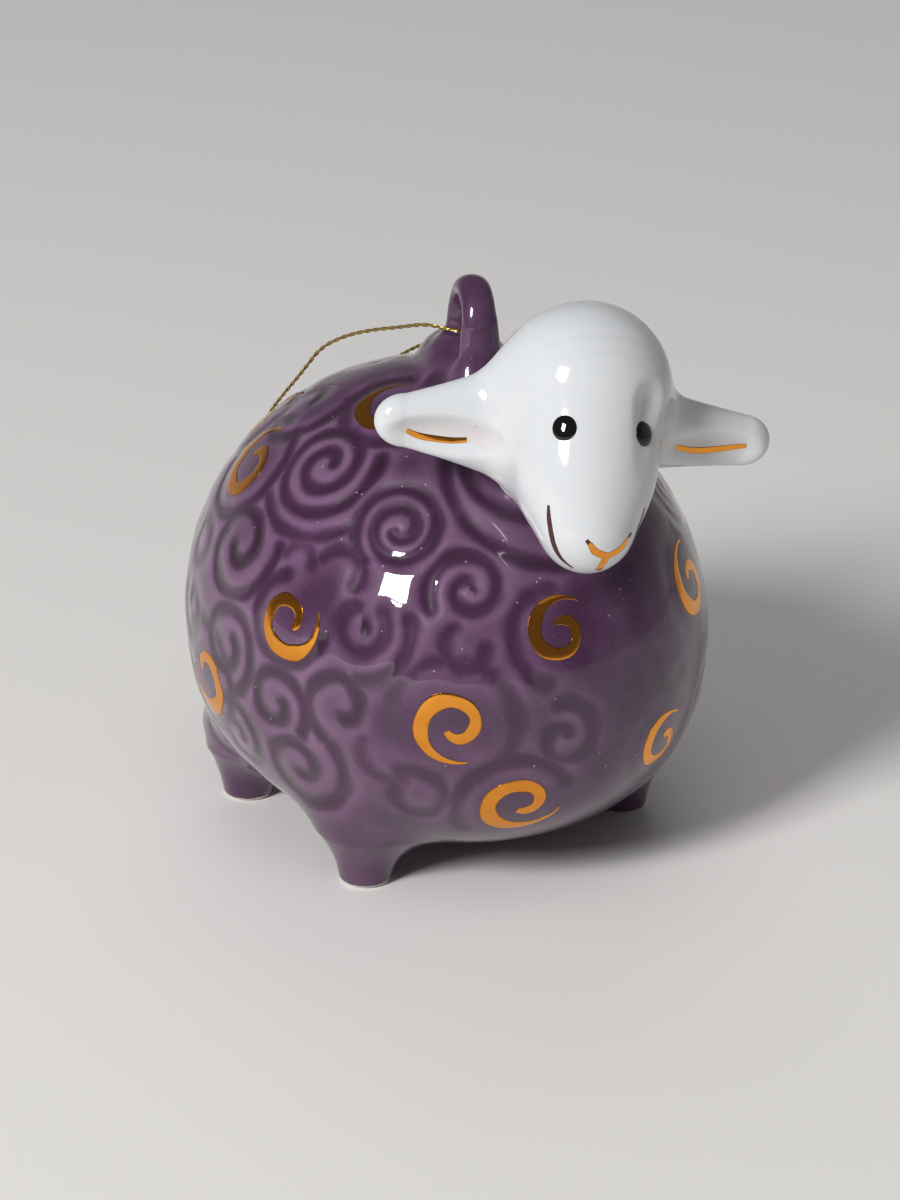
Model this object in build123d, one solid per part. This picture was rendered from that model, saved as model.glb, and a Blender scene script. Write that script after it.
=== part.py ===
from build123d import *
import math
import os

# A small hanging sheep of glazed ceramic, in millimetres. It stands on the floor at z = 0, faces -Y and has its
# own left side towards +X. While the pieces are made, the round body's upright axis is at x = y = 0.

# Round body, cast hollow
body_width = 80.0
body_length = 91.0
widest_height = 34.1
crown_rise = 41.1
belly_drop = 32.0
body_wall = 3.0
vent_radius = 2.5
vent_depth = 12.0
# Exponents of the body's outline, above and below its widest level: 2 is an ellipse, and more is fuller
crown_fullness = 2.0
belly_fullness = 2.4
outline_steps = 8

# Legs, which flare up into the body. The insets run from the body's sides and ends to the middle of a foot
leg_inset = 15.7
front_leg_inset = 30.3
rear_leg_inset = 23.8
leg_foot_radius = 4.2
leg_flare = 4.6
leg_length = 17.0
leg_edge = 0.5
leg_flare_power = 1.7
leg_height_shares = (0.2, 0.4, 0.6, 0.8, 1.0)

# Neck, a short hollow collar that leans forward. A setback runs from the body's front end, and a drop or rise
# from its crown
neck_side = -0.5
neck_setback = 20.5
neck_drop = 10.2
neck_foot_radius = 9.0
neck_top_radius = 8.2
neck_root = 5.0
neck_bore_radius = 3.5

# Head: x points forward, y to its own left and z up in the head's own frame, whose origin is the skull's middle
head_side = 1.45
head_setback = 9.2
head_rise = 7.2
head_turn = 20.0
head_roll = 8.0
head_wall = 2.6
skull_radius = 12.6
muzzle_radius = 8.2
muzzle_forward = 11.9
muzzle_drop = 15.9
# Points along the head's outline between skull and muzzle: place along the axis, radius
cheek_outline_shares = ((0.35, 0.96), (0.7, 0.87))

# Ears
ear_root_back = 1.5
ear_root_side = 8.0
ear_root_drop = 3.5
ear_tip_back = 2.8
ear_tip_side = 30.4
ear_tip_drop = 7.2
ear_half_width = 8.2
ear_thinness = 0.52
ear_tilt = 22.0
# The ear's outline: place from root to tip, half width
ear_outline_shares = ((-0.25, 0.8), (0.0, 1.0), (0.22, 0.84), (0.45, 0.67), (0.7, 0.58), (0.88, 0.46))
ear_dish_width = 6.2
ear_dish_length = 17.0
ear_dish_depth = 1.5
ear_dish_share = 0.6

# Pad and hanging loop on the back
loop_side = 1.5
loop_forward = 5.0
loop_turn = 17.0
loop_rise = 15.8
loop_hole_width = 6.6
loop_strap = 3.7
loop_breadth = 5.8
loop_foot_growth = 1.25
loop_leg_spread = 0.6
pad_rise = 5.6
pad_depth = 8.0
pad_half_length = 13.0
pad_half_width = 8.0
pad_back = 3.0

# Painted and gilded marks, fired on as thin films
film = 0.15
film_reach = 3.0
curl_radius = 6.2
curl_width = 2.1
curl_inner_share = 0.24
curl_steps = 14
# Half widths along a curl, from its outer to its inner end
curl_width_shares = ((0.0, 0.14), (0.12, 0.5), (0.3, 1.0), (0.55, 0.95), (0.8, 0.75), (1.0, 0.3))
# Each curl: turn about the body from the front towards its left in degrees, height as a share of the body's,
# size, start angle and sweep in degrees, seen from outside
front_curl_shares = (
    (-34, 0.440, 1.00, 288, -428),
    (-10, 0.622, 0.86, 51, 431),
    (-19, 0.245, 1.10, 339, -443),
    (19, 0.309, 0.82, 53, 320),
    (37, 0.610, 1.00, 72, 445),
)
right_curl_shares = (
    (-72, 0.600, 0.98, 24, -423),
    (-110, 0.814, 1.12, 98, 409),
    (-70, 0.967, 1.00, 110, 400),
    (-99, 0.384, 1.10, 187, 350),
)
left_curl_shares = (
    (66, 0.310, 0.90, 200, 420),
    (84, 0.690, 1.00, 30, -430),
    (112, 0.440, 1.05, 300, -420),
    (128, 0.800, 0.95, 80, 410),
)
rear_curl_shares = (
    (152, 0.270, 0.90, 20, -420),
    (172, 0.620, 1.05, 130, 430),
    (-150, 0.400, 0.95, 250, -425),
    (-140, 0.840, 1.00, 60, 400),
)
eye_radius = 1.65
eye_bulge = 0.55
eye_forward = 12.9
eye_spread = 6.0
eye_drop = 2.5
face_reach = 16.0
nose_stroke = 0.9
nose_drop = 18.1
nose_wing_side = 3.0
nose_wing_rise = 1.0
nose_stem = 2.9
mouth_stroke = 0.55
mouth_corner_side = 8.4
mouth_corner_drop = 13.2
mouth_bend_side = 7.2
mouth_bend_drop = 18.0
mouth_end_side = 2.6
mouth_end_drop = 21.4
ear_stroke = 0.85
ear_stroke_length = 10.0
ear_stroke_share = 0.62
ear_stroke_depth = 6.0

# Metallic thread and its knot
cord_diameter = 0.6
cord_bend_share = 0.45
cord_least_bends = 3
knot_radius = 1.05
knot_half_height = 0.9
knot_tail = 3.6
knot_tail_height = 0.35
knot_tail_turn = 38.0
# The hidden part of the route is a guess: down the back to the floor, where the two ends are knotted
cord_right_route = (
    (1.9, -4.0, 81.3),
    (-0.6, -3.3, 81.6),
    (-2.3, 1.1, 82.5),
    (-4.1, 6.6, 81.1),
    (-6.1, 12.1, 79.1),
    (-8.0, 17.3, 76.9),
    (-9.6, 21.7, 74.0),
    (-10.7, 25.0, 69.6),
    (-11.4, 29.0, 65.4),
    (-11.8, 34.6, 59.8),
    (-11.4, 40.4, 51.8),
    (-10.4, 44.8, 42.0),
    (-9.0, 46.9, 31.4),
    (-7.4, 48.0, 20.8),
    (-5.2, 49.6, 10.8),
    (-1.8, 52.6, 3.2),
    (3.4, 55.9, 0.6),
    (8.0, 57.3, 0.55),
    (11.9, 57.9, 0.8),
)
cord_left_route = (
    (1.9, -4.0, 81.3),
    (4.4, -4.7, 81.0),
    (7.4, -2.2, 80.7),
    (8.6, 3.0, 78.6),
    (8.5, 8.8, 76.5),
    (8.1, 14.6, 74.4),
    (7.7, 20.4, 71.6),
    (7.3, 26.2, 68.1),
    (7.2, 31.9, 63.8),
    (7.4, 37.5, 57.8),
    (7.9, 42.2, 50.0),
    (8.4, 45.5, 41.0),
    (9.0, 47.2, 31.0),
    (9.7, 48.2, 20.8),
    (10.6, 49.4, 11.0),
    (11.7, 52.0, 3.8),
    (12.2, 55.4, 1.2),
    (12.6, 57.5, 0.95),
)
knot_place = (12.7, 58.1)

half_width = body_width / 2
half_length = body_length / 2
crown = widest_height + crown_rise
leg_spread = half_width - leg_inset
neck_forward = half_length - neck_setback
head_forward = half_length - head_setback
head_height = crown + head_rise
loop_top = crown + loop_rise
pad_top = crown + pad_rise


def level(share):
    """Radius and height shares of the body's outline, from the top (1) through the widest level (0) to the belly."""
    fullness = crown_fullness if share > 0 else belly_fullness
    angle = abs(share) * math.pi / 2
    return math.cos(angle) ** (2 / fullness), math.copysign(math.sin(angle) ** (2 / fullness), share)


def ball(inset=0):
    """The round body's form, drawn in by inset all round."""
    width, length = half_width - inset, half_length - inset
    rise, drop = crown_rise - inset, belly_drop - inset
    rings = [Vertex(0, 0, widest_height - drop)]
    for step in range(1 - outline_steps, outline_steps):
        radius_share, height_share = level(step / outline_steps)
        height = widest_height + (rise if step > 0 else drop) * height_share
        rings.append(Pos(0, 0, height) * Ellipse(width * radius_share, length * radius_share))
    return loft([*rings, Vertex(0, 0, widest_height + rise)])


def egg(x_radius, y_radius, z_radius):
    """An ellipsoid about the origin."""
    rings = [Vertex(0, 0, -z_radius)]
    for step in range(1 - outline_steps, outline_steps):
        angle = step / outline_steps * math.pi / 2
        ring = Ellipse(x_radius * math.cos(angle), y_radius * math.cos(angle))
        rings.append(Pos(0, 0, z_radius * math.sin(angle)) * ring)
    return loft([*rings, Vertex(0, 0, z_radius)])


def body_radius_share(height):
    """The body's radius at a height, as a share of its widest."""
    rise = height - widest_height
    if rise > 0:
        return (1 - (rise / crown_rise) ** crown_fullness) ** (1 / crown_fullness)
    return (1 - (-rise / belly_drop) ** belly_fullness) ** (1 / belly_fullness)


def body_plane(turn, height):
    """A plane that touches the body, with its y axis uphill and its z axis outwards."""
    angle = math.radians(turn)
    share = body_radius_share(height)
    x, y = half_width * share * math.sin(angle), -half_length * share * math.cos(angle)
    rise = height - widest_height
    fullness, reach = (crown_fullness, crown_rise) if rise > 0 else (belly_fullness, belly_drop)
    slope = share ** (fullness - 2)
    upward = math.copysign(abs(rise / reach) ** (fullness - 1) / reach, rise)
    outward = Vector(slope * x / half_width ** 2, slope * y / half_length ** 2, upward).normalized()
    uphill = Vector(0, 0, 1) - outward * outward.Z
    return Plane(origin=(x, y, height), x_dir=uphill.cross(outward), z_dir=outward)


def leg():
    """One leg, standing on its foot at the origin, tall enough to run into the body."""
    side = [(leg_foot_radius, leg_edge)]
    for share in leg_height_shares:
        side.append((leg_foot_radius + leg_flare * share ** leg_flare_power, leg_length * share))
    outline = [
        Line((0, 0), (leg_foot_radius - leg_edge, 0)),
        RadiusArc((leg_foot_radius - leg_edge, 0), (leg_foot_radius, leg_edge), -leg_edge),
        Spline(*side),
        Line(side[-1], (0, leg_length)),
        Line((0, leg_length), (0, 0)),
    ]
    return revolve(Plane.XZ * make_face(outline), Axis.Z)


def head_form(inset=0):
    """The head without its ears: a pear shape along the line from skull to muzzle, in the head's frame."""
    reach = math.hypot(muzzle_forward, muzzle_drop)
    skull, muzzle = skull_radius - inset, muzzle_radius - inset
    crown = CenterArc((0, 0), skull, 270, 90)
    side = [(skull, 0)]
    for place_share, radius_share in cheek_outline_shares:
        side.append((skull_radius * radius_share - inset, reach * place_share))
    lean = math.asin((skull_radius - muzzle_radius) / reach)
    lip = (muzzle * math.cos(lean), reach + muzzle * math.sin(lean))
    side.append(lip)
    face = Spline(*side, tangents=((0, 1), (-math.sin(lean), math.cos(lean))))
    nose = CenterArc((0, reach), muzzle, math.degrees(lean), 90 - math.degrees(lean))
    axis = Line((0, reach + muzzle), (0, -skull))
    turned = revolve(Plane.XZ * make_face([crown, face, nose, axis]), Axis.Z)
    return Rot(0, 180 - math.degrees(math.atan2(muzzle_forward, muzzle_drop)), 0) * turned


def ear_plane():
    """The left ear's plane in the head's frame: z runs along the ear, x up across its width and y to its front."""
    root = Vector(-ear_root_back, ear_root_side, -ear_root_drop)
    tip = Vector(-ear_tip_back, ear_tip_side, -ear_tip_drop)
    tilt = math.radians(ear_tilt)
    return Plane(origin=root, x_dir=(math.sin(tilt), 0, math.cos(tilt)), z_dir=tip - root), (tip - root).length


def ear_front(share, depth):
    """A place on the left ear's long middle line, at a share of its length, so far in front of the ear's middle."""
    plane, length = ear_plane()
    return Plane(origin=plane.origin + plane.z_dir * (length * share) + plane.y_dir * depth,
                 x_dir=plane.z_dir, z_dir=plane.y_dir)


def ear(skull):
    """The left ear in the head's frame, with its dish, cut to sit on the skull."""
    plane, length = ear_plane()
    rings = []
    for share, width_share in ear_outline_shares:
        width = ear_half_width * width_share
        rings.append(Pos(0, 0, length * share) * Ellipse(width, width * ear_thinness))
    drop = loft([*rings, Vertex(0, 0, length)])
    depth = ear_half_width * ear_thinness * ear_dish_share
    dish = Pos(0, depth, length * ear_dish_share) * egg(ear_dish_width / 2, ear_dish_depth, ear_dish_length / 2)
    return plane.location * (drop - dish) - skull


def stroke(line, width):
    """A brush stroke of one width along a line, with round ends."""
    mark = trace(line, width)
    for end in (0, 1):
        mark += Pos(*line.position_at(end)) * Circle(width / 2)
    return mark


def curl_outline(size_share, start, sweep):
    """A gilded curl as a flat face: a spiral that swells and thins like a brush stroke."""
    outer, inner = [], []
    for step in range(curl_steps + 1):
        share = step / curl_steps
        radius = curl_radius * size_share * (1 - (1 - curl_inner_share) * share)
        for (low, low_width), (high, high_width) in zip(curl_width_shares, curl_width_shares[1:]):
            if low <= share <= high:
                blend = (share - low) / (high - low)
                width = curl_width / 2 * size_share * (low_width + (high_width - low_width) * blend)
        angle = math.radians(start + sweep * share)
        outer.append(((radius + width) * math.cos(angle), (radius + width) * math.sin(angle)))
        inner.append(((radius - width) * math.cos(angle), (radius - width) * math.sin(angle)))
    ends = [Line(outer[-1], inner[-1]), Line(inner[0], outer[0])]
    return make_face([Spline(*outer), ends[0], Spline(*inner), ends[1]])


def gold_curls(table, body, gilded):
    """The curls of one side, each a thin film on the body."""
    curls = []
    for turn, height_share, size_share, start, sweep in table:
        plane = body_plane(turn, widest_height - belly_drop + (crown_rise + belly_drop) * height_share)
        block = extrude(curl_outline(size_share, start, sweep), amount=film_reach, both=True)
        curls.append((plane.location * block & gilded) - body)
    return curls


def cord(name, route):
    """A stretch of thread: straight runs joined by arcs as large as the runs allow."""
    points = [Vector(*point) for point in route]
    radii = []
    for before, corner, after in zip(points, points[1:], points[2:]):
        shorter = min((corner - before).length, (after - corner).length)
        half_turn = math.radians((corner - before).get_angle(after - corner)) / 2
        radii.append(cord_bend_share * shorter / math.tan(half_turn))
    path = FilletPolyline(*points, radius=radii)
    section = Plane(origin=points[0], z_dir=points[1] - points[0]) * Circle(cord_diameter / 2)
    tube = sweep(section, path=path)
    expected = math.pi * cord_diameter ** 2 / 4 * path.length
    print(name, "length", round(path.length, 1), "volume over section times length",
          round(tube.volume / expected, 4), "least radius in diameters", round(min(radii) / cord_diameter, 1),
          "radii", [round(radius, 1) for radius in radii])
    if min(radii) < cord_least_bends * cord_diameter:
        print(name, "has a bend that is too tight")
    return tube


def knot():
    """The knot at the thread's ends, with two short tails on the floor."""
    place = Pos(*knot_place, 0)
    parts = place * Pos(0, 0, knot_half_height) * egg(knot_radius, knot_radius, knot_half_height)
    for side in (-1, 1):
        tail = Rot(0, 90, 0) * Cylinder(cord_diameter / 2, knot_tail, align=(Align.CENTER, Align.CENTER, Align.MIN))
        parts += place * Rot(0, 0, side * knot_tail_turn) * Pos(0, 0, knot_tail_height) * tail
    return parts


outer = ball()
gilded = ball(-film)
head_place = Pos(head_side, -head_forward, head_height) * Rot(0, 0, -90 - head_turn) * Rot(-head_roll, 0, 0)
head_outer = head_form()
head_world = head_place * head_outer

neck_base = Vector(neck_side, -neck_forward, crown - neck_drop)
neck_line = Vector(head_side, -head_forward, head_height) - neck_base
neck_place = Plane(origin=neck_base, z_dir=neck_line).location * Pos(0, 0, -neck_root)
neck_length = neck_root + neck_line.length
neck_align = (Align.CENTER, Align.CENTER, Align.MIN)
neck_bore = neck_place * Cylinder(neck_bore_radius, neck_length, align=neck_align)
neck = neck_place * Cone(neck_foot_radius, neck_top_radius, neck_length, align=neck_align)

pieces = {}
vent = Pos(0, 0, widest_height - belly_drop) * Cylinder(vent_radius, vent_depth)
pieces["body_shell"] = outer - ball(body_wall) - neck_bore - vent

for name, side, forward in (
    ("leg_front_right", -1, half_length - front_leg_inset),
    ("leg_front_left", 1, half_length - front_leg_inset),
    ("leg_rear_right", -1, rear_leg_inset - half_length),
    ("leg_rear_left", 1, rear_leg_inset - half_length),
):
    pieces[name] = Pos(side * leg_spread, -forward, 0) * leg() - outer

pieces["neck"] = neck - outer - head_world - neck_bore
pieces["head"] = head_world - head_place * head_form(head_wall) - neck_bore

left_ear = ear(head_outer)
pieces["ear_left"] = head_place * left_ear - neck
pieces["ear_right"] = head_place * mirror(left_ear, about=Plane.XZ) - neck

loop_place = Pos(loop_side, -loop_forward, 0) * Rot(0, 0, -90 - loop_turn)
pad_form = loop_place * Pos(-pad_back, 0, pad_top - pad_depth) * egg(pad_half_length, pad_half_width, pad_depth)
pieces["loop_pad"] = pad_form - outer

limb_reach = (loop_hole_width + loop_strap) / 2
arch_height = loop_top - loop_strap / 2 - limb_reach
limb_face = Pos(limb_reach, 0, arch_height) * Ellipse(loop_strap / 2, loop_breadth / 2)
arch = revolve(limb_face, Axis((0, 0, arch_height), (0, -1, 0)), revolution_arc=180)
foot_face = Pos(limb_reach + loop_leg_spread, 0, pad_top - pad_depth / 2) * Ellipse(
    loop_strap / 2 * loop_foot_growth, loop_breadth / 2 * loop_foot_growth)
limb = loft([limb_face, foot_face])
loop_form = loop_place * (arch + limb + mirror(limb, about=Plane.YZ))
pieces["hanging_loop"] = loop_form - pad_form - outer

pieces["gold_curls_front"] = gold_curls(front_curl_shares, outer, gilded)
pieces["gold_curls_right"] = gold_curls(right_curl_shares, outer, gilded)
pieces["gold_curls_left"] = gold_curls(left_curl_shares, outer, gilded)
pieces["gold_curls_rear"] = gold_curls(rear_curl_shares, outer, gilded)

# Eyes, where lines from the skull's middle leave the head
eyes = []
for side in (-1, 1):
    sight = Axis((0, 0, 0), (eye_forward, side * eye_spread, -eye_drop))
    seat, outward = max(head_outer.find_intersection_points(sight), key=lambda hit: hit[0].X)
    dot = egg(eye_radius, eye_radius, eye_bulge)
    eyes.append(head_place * (Plane(origin=seat, z_dir=outward).location * dot - head_outer))
pieces["eyes"] = eyes

# Nose and mouth, drawn as seen from straight in front of the head
painted = head_form(-film)
front_view = Plane(origin=(muzzle_forward, 0, 0), x_dir=(0, 1, 0), z_dir=(1, 0, 0))
nose_mark = Sketch()
for side in (-1, 1):
    wing = Line((0, -nose_drop), (side * nose_wing_side, nose_wing_rise - nose_drop))
    nose_mark += stroke(wing, nose_stroke)
nose_mark += stroke(Line((0, -nose_drop), (0, -nose_drop - nose_stem)), nose_stroke)
nose_block = front_view.location * extrude(nose_mark, amount=face_reach)
pieces["nose_mark"] = head_place * ((nose_block & painted) - head_outer)
mouth = []
for side in (-1, 1):
    smile = ThreePointArc((side * mouth_corner_side, -mouth_corner_drop), (side * mouth_bend_side, -mouth_bend_drop),
                          (side * mouth_end_side, -mouth_end_drop))
    smile_block = front_view.location * extrude(stroke(smile, mouth_stroke), amount=face_reach)
    mouth.append(head_place * ((smile_block & painted) - head_outer))
pieces["mouth_line"] = mouth

# Gold stroke in each ear's dish
ear_bar = ear_front(ear_stroke_share, 0).location * extrude(
    stroke(Line((-ear_stroke_length / 2, 0), (ear_stroke_length / 2, 0)), ear_stroke), amount=ear_stroke_depth)
raised_ear = ear_front(0, film)
ear_mark = (ear_bar & (Pos(*(raised_ear.z_dir * film)) * left_ear)) - left_ear
pieces["ear_marks"] = [head_place * ear_mark, head_place * mirror(ear_mark, about=Plane.XZ)]

cords = {
    "cord_right": cord("cord_right", cord_right_route),
    "cord_left": cord("cord_left", cord_left_route),
}
cords["cord_knot"] = knot() - cords["cord_right"] - cords["cord_left"]

# The finished part's origin is on the floor, under the middle of the ceramic's box
box = Compound(children=[Compound(children=list(piece)) if isinstance(piece, list) else piece
                         for piece in pieces.values()]).bounding_box()
shift = Pos(-(box.min.X + box.max.X) / 2, -(box.min.Y + box.max.Y) / 2, -box.min.Z)
print("shift", shift.position, "size", box.size)

os.makedirs("parts", exist_ok=True)
for name, piece in {**pieces, **cords}.items():
    solids = [solid for item in (piece if isinstance(piece, list) else [piece]) for solid in item.solids()]
    export_step(Compound(label=name, children=[shift * solid for solid in solids]), f"parts/{name}.step")
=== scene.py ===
import math

import bpy
import numpy as np
from bpy.props import FloatProperty, FloatVectorProperty, IntProperty, PointerProperty
from mathutils import Matrix, Vector


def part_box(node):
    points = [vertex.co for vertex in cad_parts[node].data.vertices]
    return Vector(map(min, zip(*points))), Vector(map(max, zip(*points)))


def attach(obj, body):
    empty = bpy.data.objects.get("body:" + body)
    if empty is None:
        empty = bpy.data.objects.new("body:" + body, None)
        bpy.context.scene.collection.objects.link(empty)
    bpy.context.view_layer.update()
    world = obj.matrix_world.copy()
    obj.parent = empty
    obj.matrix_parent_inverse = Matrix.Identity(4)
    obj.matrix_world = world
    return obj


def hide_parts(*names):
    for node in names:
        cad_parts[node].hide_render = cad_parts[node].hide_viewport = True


bl_info = {
    "name": "Glazed sheep ornament",
    "version": (1, 0, 0),
    "blender": (4, 5, 0),
    "location": "3D View > Sidebar > Sheep",
    "description": "Dresses a hanging ceramic sheep with glaze, gilded curls and a twisted thread",
    "category": "Object",
}

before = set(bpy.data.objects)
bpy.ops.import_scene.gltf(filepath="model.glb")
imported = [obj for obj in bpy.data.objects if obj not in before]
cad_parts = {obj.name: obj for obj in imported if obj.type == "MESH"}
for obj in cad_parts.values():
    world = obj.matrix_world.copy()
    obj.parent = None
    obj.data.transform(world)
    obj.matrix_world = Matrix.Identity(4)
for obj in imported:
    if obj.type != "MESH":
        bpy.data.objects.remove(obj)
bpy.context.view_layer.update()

# Forms are in millimetres about the ball's upright axis. The sheep faces -Y, and the floor is at z = 0.
MM = 0.001
ball_low, ball_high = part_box("body_shell")
BALL = np.array([(ball_low.x + ball_high.x) / 2, (ball_low.y + ball_high.y) / 2, 0.0]) / MM

# Round body
WIDEST = 34.1
HALF_WIDTH, HALF_LENGTH = 40.0, 45.5
CROWN_RISE, BELLY_DROP = 41.1, 32.0
CROWN_FULLNESS, BELLY_FULLNESS = 2.0, 2.4

FEET = ((-24.3, -15.2), (24.3, -15.2), (-24.3, 21.7), (24.3, 21.7))
# A leg's radius at the floor, how it widens upwards, and the heights where that ends and where the leg ends
FOOT_RADIUS, LEG_FLARE, FLARE_TOP, LEG_TOP = 4.1, (0.1, 0.022), 9.0, 14.0
# Keeps the legs' field from running ahead of the true distance where they widen
FLARE_SLOPE = 0.85

LOOP_PLACE, LOOP_TURN, LOOP_TOP = (2.1, -4.9), 21.0, 91.0
LOOP_STRAP, LOOP_BREADTH, LOOP_HOLE = 3.7, 6.0, 6.6
# How the loop's legs part below its arch, and how its strap thickens and broadens there
LOOP_PARTING, STRAP_GROWTH, STRAP_BROADENING = 0.02, 0.03, 0.035
# The strap's breadth in the arch as a share, and how far over the arch's middle it starts to broaden
ARCH_BREADTH, ARCH_BELOW = 0.86, 3.0
PAD_BACK, PAD_RADII, PAD_MIDDLE = 4.5, (15.0, 8.0, 7.7), 72.8

# The neck's foot, its upper end from the skull's middle, and its radius at each
NECK_FOOT, NECK_HEAD, NECK_RADII = (0.0, -25.0, 65.0), (0.0, 0.5, -2.0), (7.8, 7.9)
# The rings pressed round its foot: middle, radius and the way they face
COLLAR_RINGS = (
    ((-0.7, -27.2, 64.5), 14.1, (-0.06, -0.59, 0.80)),
    ((-1.5, -25.0, 67.2), 10.0, (-0.07, -0.52, 0.85)),
)
# How wide they are pressed, as a square, and how much a height off their plane counts
COLLAR_SPREAD, COLLAR_TILT = 1.8, 0.4

# Head, with x forward, y to its own left and z up in its own frame
SKULL, HEAD_TURN, HEAD_ROLL = (1.45, -36.3, 82.4), 20.0, 8.0
SKULL_RADIUS, MUZZLE_RADIUS = 12.6, 7.1
MUZZLE = (12.3, -0.5, -16.9)
CHEEK, CHEEK_RADIUS = (6.2, -0.6, -11.0), 9.9
# Each ear's root and tip, and half its breadth at its root, middle and end, the sheep's right one first
EARS = (((-1.5, -8.0, -6.5), (-2.8, -25.7, -7.7), (10.0, 6.3, 4.0)),
        ((-1.5, 8.0, -6.1), (-2.8, 26.2, -7.6), (6.6, 5.0, 3.9)))
EAR_TILT, EAR_THICKNESSES = 6.0, (5.0, 2.5)
# How far an ear's rounded ends reach past its tip and its root
EAR_PAST_TIP, EAR_PAST_ROOT = 4.5, 6.0
# The dish in an ear: share of the ear's length, distance below its middle, distance out of its middle as a
# share of its thickness, radii, and soft edge
EAR_DISH = (0.68, 2.1, 1.25, (9.5, 3.6, 2.6), 1.1)
# The sheep's left eye, and the hollow in which it sits: radius, depth, the way it faces, its reach up and
# down along the muzzle, and its soft edge
EYE = (12.9, 6.4, -2.2)
EYE_HOLLOW = (4.0, 0.9, (0.66, 0.56, 0.49), (3.5, 8.0), 1.3)
# Creases over the forehead: degrees forward from the top of the head, and depth
FOREHEAD_CREASES = ((34.0, 0.14), (45.0, 0.10))
CREASE_DEGREES, CREASE_HALF_LENGTH = 4.0, 8.0
# Painted shade in the ears: a pinkish tint in their hollows stands in for shadow and reflected light. How
# often the surface is averaged to find hollows, how strongly and from what depth they count, and how far to
# the side of the skull's middle the tint begins and rises to its full strength
EAR_SHADE_ROUNDS, EAR_SHADE_GAIN, EAR_SHADE_ONSET, EAR_SHADE_ASIDE, EAR_SHADE_RISE = 30, 3.5, 0.05, 11, 4

# Fillets where the pieces are luted together
LEG_FILLET, LOOP_FILLET, PAD_FILLET = 7.0, 2.2, 1.6
CHEEK_FILLET, EAR_FILLET, NECK_FILLET = 4.0, 5.0, 3.5

# The room in which each glazed surface is looked for
BODY_ROOM = (-41.5, -47.0, -1.3), (41.5, 47.0, 92.5)
HEAD_ROOM = (-31.0, -62.0, 55.0), (33.0, -14.0, 96.5)

# Pressed grooves, each an arc of a spiral about a place on the ball: turn about the ball in degrees from the
# front towards the sheep's left, height, radius and angle at its inner end, the same at its outer end, and
# depth as a share
GROOVES = (
    (-79, 66, 1.6, 30, 9.4, 750, 1.0), (-79, 66, 10.9, -136, 13.0, -30, 0.8),
    (-48, 61, 1.4, -130, 7.4, 590, 0.95), (-61, 54, 4.5, 150, 3.2, -25, 0.7),
    (-93, 53, 1.8, -137, 9.4, 375, 1.0), (-90, 38, 2.7, 28, 7.6, -430, 1.0),
    (-108, 39, 1.5, 150, 5.5, -200, 1.0), (-111, 49, 3.0, 114, 3.2, -200, 0.8),
    (-30, 54, 0.2, -330, 6.5, 206, 0.85), (-31, 46, 3.5, 122, 2.6, 360, 0.5),
    (-54, 47.5, 0.1, 0, 0.1, 10, 0.9), (-54, 47.5, 3.6, 120, 4.0, 400, 0.55),
    (-54, 47.5, 7.6, 16, 8.0, -90, 0.7),
    (-74, 32.5, 2.0, 0, 6.6, -396, 1.0), (-58, 35, 2.2, -60, 6.6, 240, 0.95),
    (-69, 22.5, 1.4, -89, 8.8, 400, 0.85), (-88, 23, 1.2, 0, 6.6, 500, 0.9),
    (-42, 21.5, 3.3, -200, 5.0, 118, 0.5), (-47, 28.5, 5.0, 160, 4.5, 290, 0.35),
    (-10.5, 31.2, 1.3, 58, 5.7, 456, 0.5), (20, 38, 3.8, 160, 3.8, 320, 0.3),
    (-34, 34.3, 10.4, 156, 9.0, -71, 0.4), (-10, 47.6, 6.7, 98, 8.1, 250, 0.55),
    (-19, 20, 10.2, -142, 7.8, -330, 0.6), (-72, 46, 7.0, 110, 6.8, 349, 0.9),
    (-120, 69.5, 1.5, -300, 9.5, 30, 0.9), (-73, 54.2, 3.0, -190, 2.6, -345, 0.6),
)

# Half the width of a groove at half its depth, and how much that varies along it
GROOVE_HALF, GROOVE_UNEVEN = 1.18, 0.16
# What halves the depth there, and how steep a groove's flanks are
GROOVE_HALVING, GROOVE_FLANK = 0.69, 2.3
# Spirals of the hidden sides: smallest and largest radius, and number of tries
HIDDEN_SPIRALS = ((7.0, 9.5, 500), (4.8, 6.5, 1500), (3.2, 4.4, 3000))
# The turns between which the photograph shows the ball, so that every groove there is given above
SEEN_FROM, SEEN_TO = -104, 42
# Room kept round a given groove, a gilded curl, a foot, the neck and the pad
GROOVE_ROOM, CURL_ROOM, FOOT_ROOM, NECK_ROOM, PAD_ROOM = 1.5, 2.5, 9.0, 17.0, 12.0
# How often depths are averaged for the level that the glaze pools from, and how strongly it pools and thins
POOL_ROUNDS, POOL_GAIN, THIN_GAIN = 14, 0.8, 1.1

# Gilded curls: turn, height, outer radius, first angle and sweep in degrees, and depth of the ring pressed
# round it as a share
FRONT_CURLS = (
    (-34.0, 34.3, 6.2, 288, -428, 0.0),
    (-10.0, 47.6, 5.3, 51, 431, 0.0),
    (-19.0, 20.0, 6.8, 339, -443, 0.0),
    (19.0, 24.7, 5.2, 53, 410, 0.25),
    (37.0, 46.7, 6.2, 72, 445, 0.3),
)
RIGHT_CURLS = (
    (-72.0, 46.0, 6.1, 24, -423, 0.0),
    (-110.0, 61.6, 7.0, 98, 409, 1.0),
    (-70.0, 72.8, 6.2, 110, 400, 0.8),
    (-99.0, 30.2, 6.8, 187, 350, 0.9),
)
LEFT_CURLS = (
    (66.0, 24.8, 5.6, 200, 420, 0.8),
    (84.0, 52.5, 6.2, 30, -430, 1.0),
    (112.0, 34.3, 6.5, 300, -420, 1.0),
    (128.0, 60.6, 5.9, 80, 410, 1.0),
)
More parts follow.
